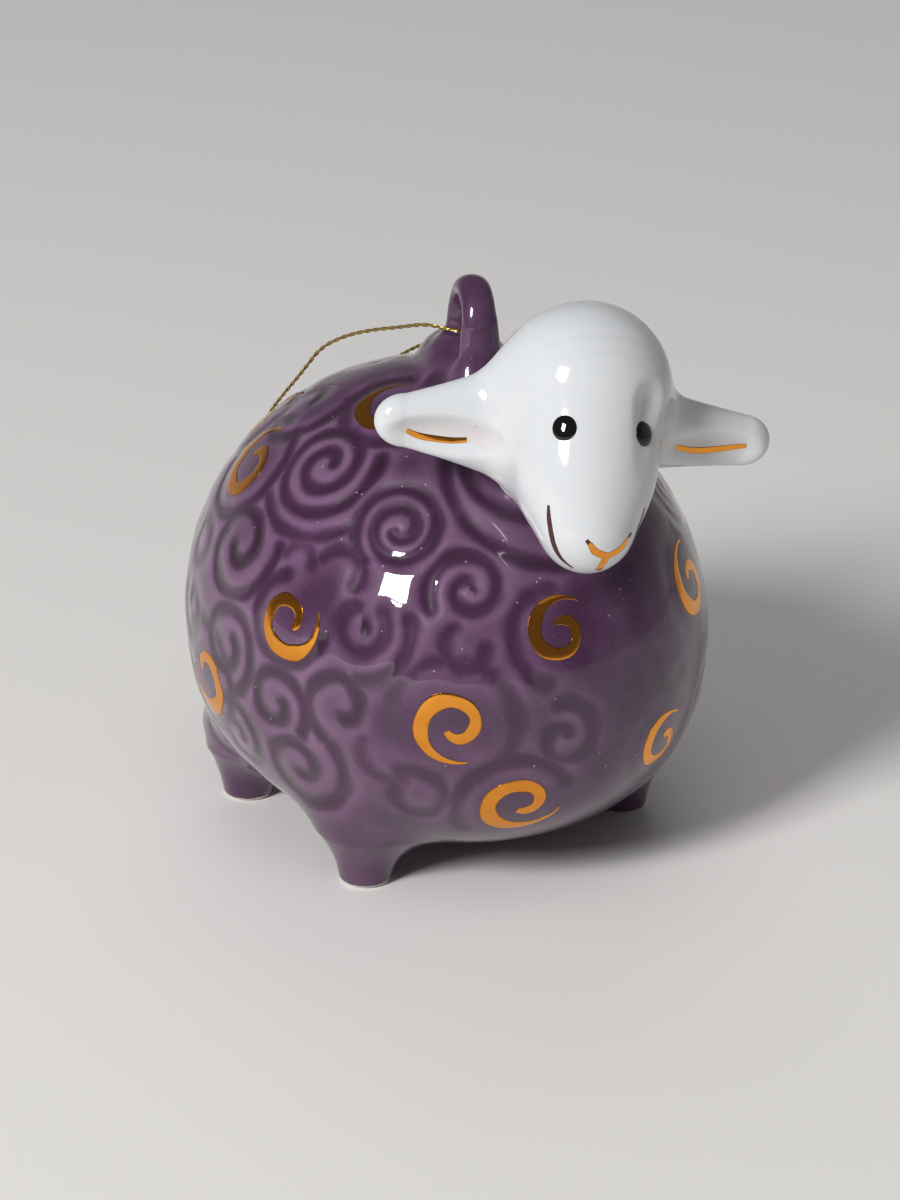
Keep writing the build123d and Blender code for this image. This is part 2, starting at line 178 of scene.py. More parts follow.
REAR_CURLS = (
    (152.0, 21.8, 5.6, 20, -420, 0.9),
    (172.0, 47.4, 6.5, 130, 430, 1.0),
    (-150.0, 31.3, 5.9, 250, -425, 1.0),
    (-140.0, 63.5, 6.2, 60, 400, 1.0),
)
# A curl's inner radius as a share, the radius at which it has its full width, and its width along it
CURL_INNER, FULL_CURL = 0.24, 6.2
CURL_WIDTHS = (
    (0.0, 0.12), (0.08, 0.35), (0.2, 0.95), (0.32, 1.0), (0.5, 0.8), (0.75, 0.72), (0.92, 0.62), (1.0, 0.4),
)

# Strokes on the face, in the head's frame: places, the way they face and half widths. The nose's wing, the
# nostril and the mouth are written for the sheep's left and mirrored, the first two about the nose's middle.
FORWARD, NOSE_MIDDLE = (0.9, 0.0, -0.3), 1.2
NOSE_WING, NOSE_WING_WIDTHS = ((19.7, 3.1, -17.3), (20.0, 2.0, -18.7), (20.0, 0.0, -19.6)), (0.35, 0.6, 0.62)
NOSE_STEM, NOSE_STEM_WIDTHS = ((20.0, 1.2, -19.2), (19.7, 1.0, -20.6), (19.0, 0.7, -22.6)), (0.6, 0.6, 0.5)
NOSTRIL, NOSTRIL_WIDTHS = ((19.5, 3.6, -16.9), (19.7, 3.1, -17.4)), (0.25, 0.36)
MOUTH = (
    (14.6, 7.2, -13.1), (14.9, 6.9, -15.1), (15.4, 6.4, -17.1),
    (15.9, 5.8, -19.0), (16.4, 4.8, -20.8), (16.9, 3.2, -22.2),
)
MOUTH_FACING, MOUTH_WIDTHS = (0.75, 0.6, -0.3), (0.2, 0.42, 0.5, 0.5, 0.38, 0.14)
EAR_STROKES = (
    (-1, ((1.7, -25.8, -8.5), (2.0, -23.6, -9.2), (2.4, -19.6, -9.3), (2.6, -17.0, -8.9))),
    (1, ((3.4, 15.0, -7.8), (2.8, 18.6, -8.5), (2.2, 22.8, -8.3), (1.7, 26.8, -7.7))),
)
EAR_STROKE_WIDTHS = (0.35, 0.5, 0.48, 0.38)
# An eye's dome: rings, places round each, height, and the skirt that sinks below the glaze
DOME_RINGS, DOME_PLACES, DOME_HEIGHT = 12, 40, 0.5
DOME_SKIRT, DOME_FLOOR = ((0.97, -0.3), (0.6, -0.6)), -0.7

# Spacing of the points along strokes and plies, and how far off the surface a stroke looks for it, in metres
STROKE_STEP, STROKE_REACH = 0.00022, 0.006
# Places round a stroke's film, and the share of its half width where its darker rim begins
FILM_SIDES, RIM_START, RIM_RISE = 20, 0.8, 5.0
# A ply's distance from the thread's middle and its radius, as shares of the thread's thickness
PLY_OFFSET, PLY_RADIUS, PLY_SIDES = 0.24, 0.29, 8

# The thread's route from the hole in the loop, about the ball's axis
THREAD_RIGHT = (
    (1.9, -4.0, 82.2), (-0.6, -3.3, 82.2), (-2.3, 1.1, 82.5), (-4.1, 6.6, 80.7), (-6.1, 12.1, 79.1),
    (-8.0, 17.3, 76.9), (-9.6, 21.7, 74.0), (-10.7, 25.0, 69.6), (-11.4, 29.0, 65.4), (-11.8, 34.6, 59.8),
    (-11.4, 40.4, 51.8), (-10.4, 44.8, 42.0), (-9.0, 46.9, 31.4), (-7.4, 48.0, 20.8), (-5.2, 49.6, 10.8),
    (-1.8, 52.6, 3.2), (3.4, 55.9, 0.6), (8.0, 57.3, 0.55), (11.9, 57.9, 0.8),
)
THREAD_LEFT = (
    (1.9, -4.0, 82.2), (4.4, -4.7, 81.8), (7.4, -2.2, 80.7), (8.6, 3.0, 78.6), (8.5, 8.8, 76.5),
    (8.1, 14.6, 74.4), (7.7, 20.4, 71.6), (7.3, 26.2, 68.1), (7.2, 31.9, 63.8), (7.4, 37.5, 57.8),
    (7.9, 42.2, 50.0), (8.4, 45.5, 41.0), (9.0, 47.2, 31.0), (9.7, 48.2, 20.8), (10.6, 49.4, 11.0),
    (11.7, 52.0, 3.8), (12.2, 55.4, 1.2), (12.6, 57.5, 0.95),
)
KNOT, KNOT_SIZE = (12.7, 58.1, 0.9), 0.22
# The thread's two ends beyond the knot: their turns in degrees, and distance out and height along each
TAIL_TURNS, TAIL = (-36, 40), ((0.3, 0.1), (0.9, -0.1), (1.6, -0.45), (2.4, -0.55), (3.5, -0.55))

# The photograph's camera, about the ball's axis
CAMERA_TURN, CAMERA_RISE, CAMERA_AWAY = -32.6, 22.6, 550.0
CAMERA_AIM = (0.9, 2.0)
CAMERA_LENS, CAMERA_SENSOR = 103.47, 36.0

# Soft boxes: turn and rise about the ball in degrees, distance, size, power, and whether gloss mirrors them
LAMPS = (
    ("window", (-71, 34), 1800, (400, 460), 25.0, True),
    ("window_low", (-69, 25), 1800, (190, 60), 2.5, True),
    ("fill_above", (-30, 68), 2200, (1500, 1500), 6.5, False),
    ("fill_behind", (150, 45), 2200, (1500, 1500), 6.0, False),
)
# The world's light, and how strongly the gloss mirrors the low backdrop beyond the object
WORLD_LIGHT, BACKDROP_MIRRORED, BACKDROP_TOP = 0.10, 0.4, 0.35
FLOOR_HALF = 3

# Tones that no setting changes
BARE_CLAY, PALE_SPECK, DARK_SPECK = (0.88, 0.86, 0.84), (0.86, 0.82, 0.88), (0.30, 0.26, 0.26)
# Painted shade: the pinkish tint laid in the ears' hollows for shadow and reflected light
EAR_SHADE_PINK, WHITE_CLOUD = (0.80, 0.66, 0.63), (0.80, 0.80, 0.82)
GOLD_RIM, THREAD_SHADE = (0.22, 0.10, 0.06), (0.42, 0.30, 0.10)
BLACKS = (0.035, 0.035, 0.045), (0.075, 0.07, 0.08)
BROWNS = (0.16, 0.06, 0.06), (0.34, 0.15, 0.12)


# Forms as distance fields

def smooth_min(first, second, reach):
    """The union of two fields, with a fillet."""
    blend = np.clip(0.5 + 0.5 * (second - first) / reach, 0, 1)
    return second + (first - second) * blend - reach * blend * (1 - blend)


def smooth_max(first, second, reach):
    """What two fields have in common, with a rounded edge."""
    return -smooth_min(-first, -second, reach)


def egg(points, radii):
    """Distance to an ellipsoid about the origin."""
    radii = np.array(radii)
    inner = np.linalg.norm(points / radii, axis=1)
    slope = np.linalg.norm(points / radii ** 2, axis=1)
    return inner * (inner - 1) / np.maximum(slope, 1e-9)


def round_cone(points, start, end, start_radius, end_radius):
    """Distance to the hull of two balls."""
    start, line = np.array(start), np.array(end) - np.array(start)
    length = line @ line
    taper = start_radius - end_radius
    wide = length - taper ** 2
    offset = points - start
    along = offset @ line
    beyond = along - length
    across = ((offset * length - np.outer(along, line)) ** 2).sum(1)
    side = np.sign(taper) * taper ** 2 * across
    middle = (np.sqrt(across * wide / length) + along * taper) / length - start_radius
    middle = np.where(np.sign(beyond) * wide * beyond ** 2 * length > side,
                      np.sqrt(across + beyond ** 2 * length) / length - end_radius, middle)
    return np.where(np.sign(along) * wide * along ** 2 * length < side,
                    np.sqrt(across + along ** 2 * length) / length - start_radius, middle)


def ball_field(points):
    """Distance to the round body."""
    rise = points[:, 2] - WIDEST
    fullness = np.where(rise > 0, CROWN_FULLNESS, BELLY_FULLNESS)
    reach = np.where(rise > 0, CROWN_RISE, BELLY_DROP)
    radius = np.hypot(points[:, 0] / HALF_WIDTH, points[:, 1] / HALF_LENGTH) + 1e-9
    height = np.abs(rise) / reach + 1e-9
    level = (radius ** fullness + height ** fullness) ** (1 / fullness)
    outward = (radius / level) ** (fullness - 1) / radius
    slope = np.sqrt((outward * points[:, 0] / HALF_WIDTH ** 2) ** 2
                    + (outward * points[:, 1] / HALF_LENGTH ** 2) ** 2
                    + ((height / level) ** (fullness - 1) / reach) ** 2)
    return (level - 1) / slope


def legs_field(points):
    """Distance to the four legs."""
    nearest = None
    for x, y in FEET:
        height = np.clip(points[:, 2], 0, FLARE_TOP)
        radius = FOOT_RADIUS + LEG_FLARE[0] * height + LEG_FLARE[1] * height ** 2
        leg = (np.hypot(points[:, 0] - x, points[:, 1] - y) - radius) * FLARE_SLOPE
        leg = smooth_max(smooth_max(leg, -points[:, 2], 1.0), points[:, 2] - LEG_TOP, 2)
        nearest = leg if nearest is None else np.minimum(nearest, leg)
    return nearest


def loop_frame(points):
    """Places along, across and above the loop's own plane."""
    turn = math.radians(LOOP_TURN)
    flat = points[:, :2] - np.array(LOOP_PLACE)
    return (flat @ np.array([-math.sin(turn), -math.cos(turn)]),
            flat @ np.array([math.cos(turn), -math.sin(turn)]), points[:, 2])


def loop_field(points):
    """Distance to the hanging loop on its pad."""
    along, across, height = loop_frame(points)
    ring = (LOOP_HOLE + LOOP_STRAP) / 2
    drop = height - (LOOP_TOP - LOOP_STRAP / 2 - ring)
    spread = np.where(drop < 0, LOOP_PARTING * drop ** 2, 0)
    radius = np.where(drop > 0, np.hypot(along, drop), np.abs(along) - spread)
    thick = LOOP_STRAP / 2 * (1 + np.clip(-drop, 0, 20) * STRAP_GROWTH)
    broad = LOOP_BREADTH / 2 * (ARCH_BREADTH + np.clip(ARCH_BELOW - drop, 0, 20) * STRAP_BROADENING)
    strap = (np.sqrt(((radius - ring) / thick) ** 2 + (across / broad) ** 2) - 1) * thick
    strap = smooth_max(strap, PAD_MIDDLE - height, 1.0)
    pad = egg(np.column_stack([along + PAD_BACK, across, height - PAD_MIDDLE]), PAD_RADII)
    return smooth_min(strap, pad, LOOP_FILLET)


def purple_field(points):
    """Distance to everything under the purple glaze."""
    standing = smooth_min(ball_field(points), legs_field(points), LEG_FILLET)
    return smooth_min(standing, loop_field(points), PAD_FILLET)


def head_axes():
    """The head's forward, left and up directions."""
    turn, roll = math.radians(HEAD_TURN), math.radians(HEAD_ROLL)
    forward = np.array([-math.sin(turn), -math.cos(turn), 0])
    left = np.array([math.cos(turn), -math.sin(turn), 0])
    upward = np.array([0, 0, 1.0])
    return np.stack([forward, math.cos(roll) * left - math.sin(roll) * upward,
                     math.cos(roll) * upward + math.sin(roll) * left])


def head_points(places):
    """Places in the head's own frame, moved into the ball's."""
    return np.array(places, float) @ head_axes() + np.array(SKULL)


def ear_axes(side):
    """An ear's root, length, and its directions along, up and out of its front."""
    root, tip = (np.array(place) for place in EARS[(side + 1) // 2][:2])
    length = np.linalg.norm(tip - root)
    along = (tip - root) / length
    forward = np.array([1.0, 0, 0]) - along * along[0]
    forward /= np.linalg.norm(forward)
    upward = np.cross(along, forward) * side
    tilt = math.radians(EAR_TILT)
    front = math.cos(tilt) * forward - math.sin(tilt) * upward
    return root, length, along, np.cross(front, along) * side, front


def ears_field(places):
    """Distance to both ears, with the dish in the front of each, in the head's frame."""
    nearest = None
    for side in (-1, 1):
        root, length, along, upward, front = ear_axes(side)
        offset = places - root
        reach, rise, depth = offset @ along, offset @ upward, offset @ front
        share = np.clip(reach / length, 0, 1)
        wide, middle, narrow = EARS[(side + 1) // 2][2]
        half = wide * (1 - share) ** 2 + 2 * middle * share * (1 - share) + narrow * share ** 2
        thick = EAR_THICKNESSES[0] + (EAR_THICKNESSES[1] - EAR_THICKNESSES[0]) * share
        beyond = np.maximum(reach - length, 0) + np.minimum(reach, 0)
        past = np.where(reach > length, EAR_PAST_TIP, EAR_PAST_ROOT)
        ear = (np.sqrt((rise / half) ** 2 + (depth / thick) ** 2 + (beyond / past) ** 2) - 1) * thick
        at, below, over, radii, edge = EAR_DISH
        dish = egg(np.column_stack([reach - length * at, rise + below, depth - thick * over]), radii)
        ear = smooth_max(ear, -dish, edge)
        nearest = ear if nearest is None else np.minimum(nearest, ear)
    return nearest


def segment(points, start, end):
    """Distance to a straight line between two places."""
    start, line = np.array(start), np.array(end) - np.array(start)
    share = np.clip((points - start) @ line / (line @ line), 0, 1)
    return np.linalg.norm(points - start - share[:, None] * line, axis=1)


def white_field(points):
    """Distance to everything under the white glaze."""
    places = (points - np.array(SKULL)) @ head_axes().T
    head = round_cone(places, (0, 0, 0), MUZZLE, SKULL_RADIUS, MUZZLE_RADIUS)
    head = smooth_min(head, np.linalg.norm(places - np.array(CHEEK), axis=1) - CHEEK_RADIUS, CHEEK_FILLET)
    down = np.array(MUZZLE) / np.linalg.norm(MUZZLE)
    radius, depth, facing, (above, below), edge = EYE_HOLLOW
    middle = np.array(EYE) + (radius - depth) * np.array(facing)
    head = smooth_max(head, radius - segment(places, middle - above * down, middle + below * down), edge)
    angle = np.degrees(np.arctan2(places[:, 0], places[:, 2]))
    fade = np.exp(-(places[:, 1] / CREASE_HALF_LENGTH) ** 2)
    for at, depth in FOREHEAD_CREASES:
        head = head + depth * fade * np.exp(-((angle - at) / CREASE_DEGREES) ** 2)
    head = smooth_min(head, ears_field(places), EAR_FILLET)
    neck = round_cone(points, NECK_FOOT, np.array(SKULL) + np.array(NECK_HEAD), *NECK_RADII)
    return smooth_min(head, neck, NECK_FILLET)


# Surfaces

def slope_of(field, points):
    """A field's value and unit slope at points."""
    step = 0.05
    slope = np.empty_like(points)
    for axis in range(3):
        shift = np.zeros(3)
        shift[axis] = step
        slope[:, axis] = (field(points + shift) - field(points - shift)) / (2 * step)
    size = np.linalg.norm(slope, axis=1)
    return field(points) / np.maximum(size, 0.3), slope / np.maximum(size, 1e-6)[:, None]


def settle(field, points, rounds=3):
    """Points moved onto a field's zero level, and their outward directions."""
    for _ in range(rounds):
        distance, outward = slope_of(field, points)
        points = points - distance[:, None] * outward
    return points, outward


def neighbours(quads, count):
    """Edge ends both ways, and how many edges each point has."""
    ends = np.concatenate([quads[:, [0, 1]], quads[:, [1, 2]], quads[:, [2, 3]], quads[:, [3, 0]]])
    ends = np.unique(np.sort(ends, axis=1), axis=0)
    ends = np.concatenate([ends, ends[:, ::-1]])
    return ends[:, 0], ends[:, 1], np.maximum(np.bincount(ends[:, 0], minlength=count), 1)


def average(values, links):
    """Each point's values averaged over its neighbours."""
    here, there, count = links
    if values.ndim == 1:
        return np.bincount(here, values[there], minlength=len(values)) / count
    return np.stack([average(column, links) for column in values.T], axis=1)


def grow_surface(field, low, high, step):
    """Quads over a field's zero level, evenly spread, with the links between neighbours."""
    axes = [np.arange(start, end + step, step) for start, end in zip(low, high)]
    y, z = (part.ravel() for part in np.meshgrid(axes[1], axes[2], indexing="ij"))
    inside = np.stack([field(np.column_stack([np.full(len(y), x), y, z])) < 0 for x in axes[0]])
    inside = inside.reshape([len(axis) for axis in axes])
    corners = sum(inside[i:i - 1 or None, j:j - 1 or None, k:k - 1 or None].astype(np.int8)
                  for i in (0, 1) for j in (0, 1) for k in (0, 1))
    cells = np.argwhere((corners > 0) & (corners < 8))
    numbers = np.full(corners.shape, -1)
    numbers[tuple(cells.T)] = np.arange(len(cells))
    points = np.array([axis[0] for axis in axes]) + (cells + 0.5) * step
    quads = []
    for axis in range(3):
        first = np.take(inside, range(inside.shape[axis] - 1), axis)
        second = np.take(inside, range(1, inside.shape[axis]), axis)
        edges = np.argwhere(first != second)
        leaves = first[tuple(edges.T)]
        side, upward = np.eye(3, dtype=int)[(axis + 1) % 3], np.eye(3, dtype=int)[(axis + 2) % 3]
        ring = np.stack([numbers[tuple((edges - shift).T)]
                         for shift in (side + upward, upward, np.zeros(3, int), side)], axis=1)
        ring[~leaves] = ring[~leaves][:, ::-1]
        quads.append(ring)
    quads = np.concatenate(quads)
    links = neighbours(quads, len(points))
    points, _ = settle(field, points, 2)
    for _ in range(3):
        points, _ = settle(field, 0.4 * points + 0.6 * average(points, links), 1)
    points, outward = settle(field, points, 2)
    return points, quads, outward, links


def facings(points, quads):
    """Each point's outward direction on a mesh of quads."""
    across = np.cross(points[quads[:, 2]] - points[quads[:, 0]], points[quads[:, 3]] - points[quads[:, 1]])
    total = np.stack([sum(np.bincount(quads[:, corner], part, len(points)) for corner in range(4))
                      for part in across.T], axis=1)
    return total / np.linalg.norm(total, axis=1)[:, None]


def make_object(name, points, faces, finish, marks=None):
    """A smooth mesh object from points in millimetres, with a number on each point for every mark."""
    mesh = bpy.data.meshes.new(name)
    mesh.from_pydata(((points + BALL) * MM).tolist(), [], [list(map(int, face)) for face in faces])
    mesh.polygons.foreach_set("use_smooth", [True] * len(mesh.polygons))
    for label, values in (marks or {}).items():
        kind, part = ("FLOAT", "value") if values.ndim == 1 else ("FLOAT_VECTOR", "vector")
        mesh.attributes.new(label, kind, "POINT").data.foreach_set(part, values.astype(np.float32).ravel())
    mesh.materials.append(finish)
    mesh.update()
    piece = bpy.data.objects.new(name, mesh)
    bpy.context.scene.collection.objects.link(piece)
    return piece


def ball_spot(turn, height):
    """A place on the round body with its side, uphill and outward directions."""
    angle = math.radians(turn)
    rise = height - WIDEST
    fullness, reach = (CROWN_FULLNESS, CROWN_RISE) if rise > 0 else (BELLY_FULLNESS, BELLY_DROP)
    radius = (1 - (abs(rise) / reach) ** fullness) ** (1 / fullness)
    x, y = HALF_WIDTH * radius * math.sin(angle), -HALF_LENGTH * radius * math.cos(angle)
    place = np.array([[x, y, height]])
    _, outward = slope_of(ball_field, place)
    uphill = np.array([0, 0, 1.0]) - outward[0] * outward[0][2]
    uphill /= np.linalg.norm(uphill)
    return place[0], np.cross(uphill, outward[0]), uphill, outward[0]


# Node trees

class Socket:
    """A node's output in an expression: arithmetic on it adds Math nodes."""

    def __init__(self, tree, socket):
        self.tree, self.socket = tree, socket

    def __add__(self, other):
        return self.tree.math("ADD", self, other)

    def __radd__(self, other):
        return self.tree.math("ADD", other, self)

    def __sub__(self, other):
        return self.tree.math("SUBTRACT", self, other)

    def __rsub__(self, other):
        return self.tree.math("SUBTRACT", other, self)

    def __mul__(self, other):
        return self.tree.math("MULTIPLY", self, other)

    def __rmul__(self, other):
        return self.tree.math("MULTIPLY", other, self)

    def __truediv__(self, other):
        return self.tree.math("DIVIDE", self, other)

    def __lt__(self, other):
        return self.tree.math("LESS_THAN", self, other)


class Tree:
    """Adds nodes to a node tree and links them."""

    def __init__(self, nodes):
        self.nodes = nodes

    def node(self, kind, settings=None, inputs=None):
        """A new node, with its settings made before its inputs."""
        node = self.nodes.nodes.new(kind)
        for name, value in (settings or {}).items():
            if name == "stops":
                ramp = node.color_ramp
                while len(ramp.elements) < len(value):
                    ramp.elements.new(0.5)
                for element, (place, colour) in zip(ramp.elements, value):
                    element.position, element.color = place, (*colour, 1)
            else:
                setattr(node, name, value)
        for name, value in (inputs or {}).items():
            if isinstance(value, Socket):
                self.nodes.links.new(value.socket, node.inputs[name])
            else:
                node.inputs[name].default_value = value
        return node

    def get(self, kind, settings=None, inputs=None, output=0):
        return Socket(self, self.node(kind, settings, inputs).outputs[output])

    def math(self, operation, *values):
        return self.get("ShaderNodeMath", {"operation": operation}, dict(enumerate(values)))

    def vector(self, operation, *values):
        output = "Value" if operation == "DOT_PRODUCT" else "Vector"
        return self.get("ShaderNodeVectorMath", {"operation": operation}, dict(enumerate(values)), output)

    def scale(self, vector, factor):
        return self.get("ShaderNodeVectorMath", {"operation": "SCALE"}, {0: vector, "Scale": factor})

    def clamp(self, value):
        return self.get("ShaderNodeClamp", None, {"Value": value}, "Result")

    def mix(self, share, first, second):
        return self.get("ShaderNodeMix", {"data_type": "RGBA"}, {0: share, 6: first, 7: second}, 2)


class Finish(Tree):
    """The node tree of one surface finish."""

    def __init__(self, name, constants):
        self.material = bpy.data.materials.new(name)
        self.material.use_nodes = True
        super().__init__(self.material.node_tree)
        self.shader = self.nodes.nodes["Principled BSDF"]
        for socket, value in constants.items():
            self.shader.inputs[socket].default_value = value
        self.place = self.get("ShaderNodeTexCoord", output="Object")

    def noise(self, scale, detail=2.0, roughness=0.5):
        return self.get("ShaderNodeTexNoise", None, {"Vector": self.place, "Scale": scale, "Detail": detail,
                                                     "Roughness": roughness}, "Fac")

    def specks(self, scale, size):
        """One on small dots strewn over the surface, and nothing elsewhere."""
        return self.get("ShaderNodeTexVoronoi", {"feature": "F1"}, {"Vector": self.place, "Scale": scale},
                        "Distance") < size

    def mark(self, name, output="Fac"):
        return self.get("ShaderNodeAttribute", {"attribute_name": name}, output=output)

    def ramp(self, value, stops):
        return self.get("ShaderNodeValToRGB", {"stops": stops}, {"Fac": value}, "Color")

    def bump(self, height, distance, strength, **under):
        inputs = {"Height": height, "Distance": distance, "Strength": strength, **under}
        return self.get("ShaderNodeBump", None, inputs, "Normal")

    def feed(self, **links):
        """Links the shader's sockets, and gives the finished material."""
        for name, value in links.items():
            self.nodes.links.new(value.socket, self.shader.inputs[name.replace("_", " ")])
        return self.material


def linear(colour):
    """A written colour as light."""
    return tuple(part / 12.92 if part <= 0.04045 else ((part + 0.055) / 1.055) ** 2.4 for part in colour)


def rgba(colour):
    """A written colour as a socket takes it."""
    return (*linear(colour), 1.0)


def purple_glaze(colours):
    """Clear gloss over a tinted glaze that pools in the pressed grooves and thins over their edges."""
    finish = Finish("purple glaze", {"IOR": 1.5, "Specular IOR Level": 0.13, "Coat Roughness": 0.03})
    pool = finish.mark("pool")
    cloud = finish.noise(90, 3)
    grain = finish.noise(2200, 2, 0.6)
    depth = pool + (cloud - 0.5) * 0.6 + (grain - 0.5) * 0.2
    deep, middle, thin = (linear(tuple(part)) for part in (colours.pooled, colours.glaze, colours.thin))
    half = tuple((a + b) / 2 for a, b in zip(middle, thin))
    tone = finish.ramp(depth, ((0.05, thin), (0.32, half), (0.55, middle), (0.95, deep)))
    tone = finish.mix(finish.specks(330.0, 0.05) * 0.4, tone, rgba(PALE_SPECK))
    height = finish.get("ShaderNodeSeparateXYZ", None, {0: finish.place}, "Z")
    bare = height + (finish.noise(300) - 0.5) * 0.0006 < 0.00055
    tone = finish.mix(bare, tone, rgba(BARE_CLAY))
    relief = finish.get("ShaderNodeVectorTransform",
                        {"vector_type": "NORMAL", "convert_from": "OBJECT", "convert_to": "WORLD"},
                        {"Vector": finish.mark("relief", "Vector")})
    return finish.feed(Base_Color=tone, Roughness=0.34 + finish.noise(400, 2) * 0.12, Coat_Weight=1 - bare,
                       Normal=finish.bump(grain, 0.00003, 0.5, Normal=relief))


def white_glaze(colours):
    """White gloss with a few dark specks, and a pinkish painted shade in the hollows of the ears."""
    finish = Finish("white glaze", {"IOR": 1.5})
    # Painted shade: the ears' hollows turn pink, standing in for shadow and reflected light
    tone = finish.mix(finish.mark("crease") * 0.4, rgba(colours.white), rgba(EAR_SHADE_PINK))
    tone = finish.mix(finish.noise(120, 3) * 0.12, tone, rgba(WHITE_CLOUD))
    tone = finish.mix(finish.specks(160.0, 0.018) * 0.7, tone, rgba(DARK_SPECK))
    return finish.feed(Base_Color=tone, Roughness=0.08 + finish.noise(60, 2) * 0.03,
                       Normal=finish.bump(finish.noise(120, 2), 0.0004, 0.08))


def gold_lustre(colours):
    """Fired gold, uneven from the brush and darker along its rim."""
    finish = Finish("gold lustre", {"Metallic": 1.0, "IOR": 1.5})
    bright = tuple(min(1.0, part * 1.12 + 0.05) for part in colours.gold)
    tone = finish.mix(finish.noise(500, 3), rgba(colours.gold), rgba(bright))
    tone = finish.mix(finish.clamp(finish.mark("rim")) * 0.75, tone, rgba(GOLD_RIM))
    return finish.feed(Base_Color=tone, Roughness=0.1 + finish.noise(900, 2) * 0.12,
                       Normal=finish.bump(finish.noise(700, 2), 0.0001, 0.15))


def black_glaze(colours):
    """Thick black gloss of the eyes."""
    finish = Finish("black glaze", {"IOR": 1.55})
    tone = finish.mix(finish.noise(700, 2), *map(rgba, BLACKS))
    return finish.feed(Base_Color=tone, Roughness=0.03 + finish.noise(400, 2) * 0.03)


def brown_glaze(colours):
    """Thin brown paint of the mouth."""
    finish = Finish("brown glaze", {"IOR": 1.5})
    tone = finish.mix(finish.noise(1500, 2), *map(rgba, BROWNS))
    return finish.feed(Base_Color=tone, Roughness=0.12 + finish.noise(900, 2) * 0.08)


def gold_thread(colours):
    """Metallic yarn with darker fibres."""
    finish = Finish("gold thread", {"Metallic": 0.9, "IOR": 1.5})
    tone = finish.mix(finish.noise(2500, 2), rgba(colours.thread), rgba(THREAD_SHADE))
    return finish.feed(Base_Color=tone, Roughness=0.16 + finish.noise(3000, 1) * 0.12)


# Geometry node trees

def new_group(name, sockets):
    """An empty geometry node tree with named inputs, its node maker and its inputs by name."""
    group = bpy.data.node_groups.new(name, "GeometryNodeTree")
    group.interface.new_socket("Geometry", in_out="INPUT", socket_type="NodeSocketGeometry")
    group.interface.new_socket("Geometry", in_out="OUTPUT", socket_type="NodeSocketGeometry")
    for label, kind in sockets.items():
        group.interface.new_socket(label, in_out="INPUT", socket_type="NodeSocket" + kind)
    tree = Tree(group)
    entry = group.nodes.new("NodeGroupInput")
    return group, tree, {socket.name: Socket(tree, socket) for socket in entry.outputs if socket.name}


def close_group(tree, geometry, material):
    """Ends a tree with its instances realised and its finish set."""
    real = tree.get("GeometryNodeRealizeInstances", None, {"Geometry": geometry})
    dressed = tree.get("GeometryNodeSetMaterial", None, {"Geometry": real, "Material": material})
    smooth = tree.get("GeometryNodeSetShadeSmooth", None, {"Geometry": dressed})
    tree.node("NodeGroupOutput", None, {0: smooth})


def keep(tree, geometry, name, kind, value):
    """Stores a value on each point of a geometry."""
    return tree.get("GeometryNodeStoreNamedAttribute", {"data_type": kind, "domain": "POINT"},
                    {"Geometry": geometry, "Name": name, "Value": value})


def read(tree, name, kind):
    """A value that was stored on the points."""
    return tree.get("GeometryNodeInputNamedAttribute", {"data_type": kind}, {"Name": name}, "Attribute")


def even_lines(tree, given):
    """The given edges as curves, with points at an even step."""
    lines = tree.get("GeometryNodeMeshToCurve", None, {"Mesh": given["Geometry"]})
    return tree.get("GeometryNodeResampleCurve", {"mode": "LENGTH"},
                    {"Curve": lines, "Length": given["Step"]})


def ring_of(tree, sides, radius):
    """A ring of straight sides."""
    return tree.get("GeometryNodeCurvePrimitiveCircle", {"mode": "RADIUS"},
                    {"Resolution": sides, "Radius": radius})


def sweep(tree, line, ring):
    """A closed tube that carries a ring along a line."""
    return tree.get("GeometryNodeCurveToMesh", None,
                    {"Curve": line, "Profile Curve": ring, "Fill Caps": True})


def brush_tree():
    """Lays brush strokes on a surface: each line becomes a closed film that follows the target."""
    group, tree, given = new_group("brush strokes", {
        "Target": "Object", "Finish": "Material", "Film": "Float", "Reach": "Float", "Step": "Float"})
    lines = even_lines(tree, given)
    lines = keep(tree, lines, "spine", "FLOAT_VECTOR", tree.get("GeometryNodeInputPosition"))
    lines = keep(tree, lines, "run", "FLOAT_VECTOR", tree.get("GeometryNodeInputTangent"))
    # The ring's own radius doesn't matter, because each point of the film is placed below
    ring = ring_of(tree, FILM_SIDES, 0.0001)
    ring = keep(tree, ring, "around", "FLOAT", tree.get("GeometryNodeSplineParameter", output="Factor"))
    film = sweep(tree, lines, ring)
    facing = tree.vector("NORMALIZE", read(tree, "facing", "FLOAT_VECTOR"))
    side = tree.vector("NORMALIZE", tree.vector("CROSS_PRODUCT", facing, read(tree, "run", "FLOAT_VECTOR")))
    angle = read(tree, "around", "FLOAT") * (2 * math.pi)
    out = tree.math("COSINE", angle)
    rise = tree.math("SINE", angle)
    place = tree.vector("ADD", read(tree, "spine", "FLOAT_VECTOR"),
                        tree.scale(side, out * read(tree, "half_width", "FLOAT")))
    above = tree.vector("ADD", place, tree.scale(facing, given["Reach"]))
    target = tree.get("GeometryNodeObjectInfo", None, {"Object": given["Target"]}, "Geometry")
    cast = tree.node("GeometryNodeRaycast", None, {
        "Target Geometry": target, "Source Position": above, "Ray Direction": tree.scale(facing, -1.0),
        "Ray Length": given["Reach"] * 2})
    hit, normal = Socket(tree, cast.outputs["Hit Position"]), Socket(tree, cast.outputs["Hit Normal"])
    laid = tree.vector("ADD", hit, tree.scale(normal, rise * given["Film"]))
    film = tree.get("GeometryNodeSetPosition", None, {"Geometry": film, "Position": laid})
    film = keep(tree, film, "rim", "FLOAT", (tree.math("ABSOLUTE", out) - RIM_START) * RIM_RISE)
    close_group(tree, film, given["Finish"])
    return group


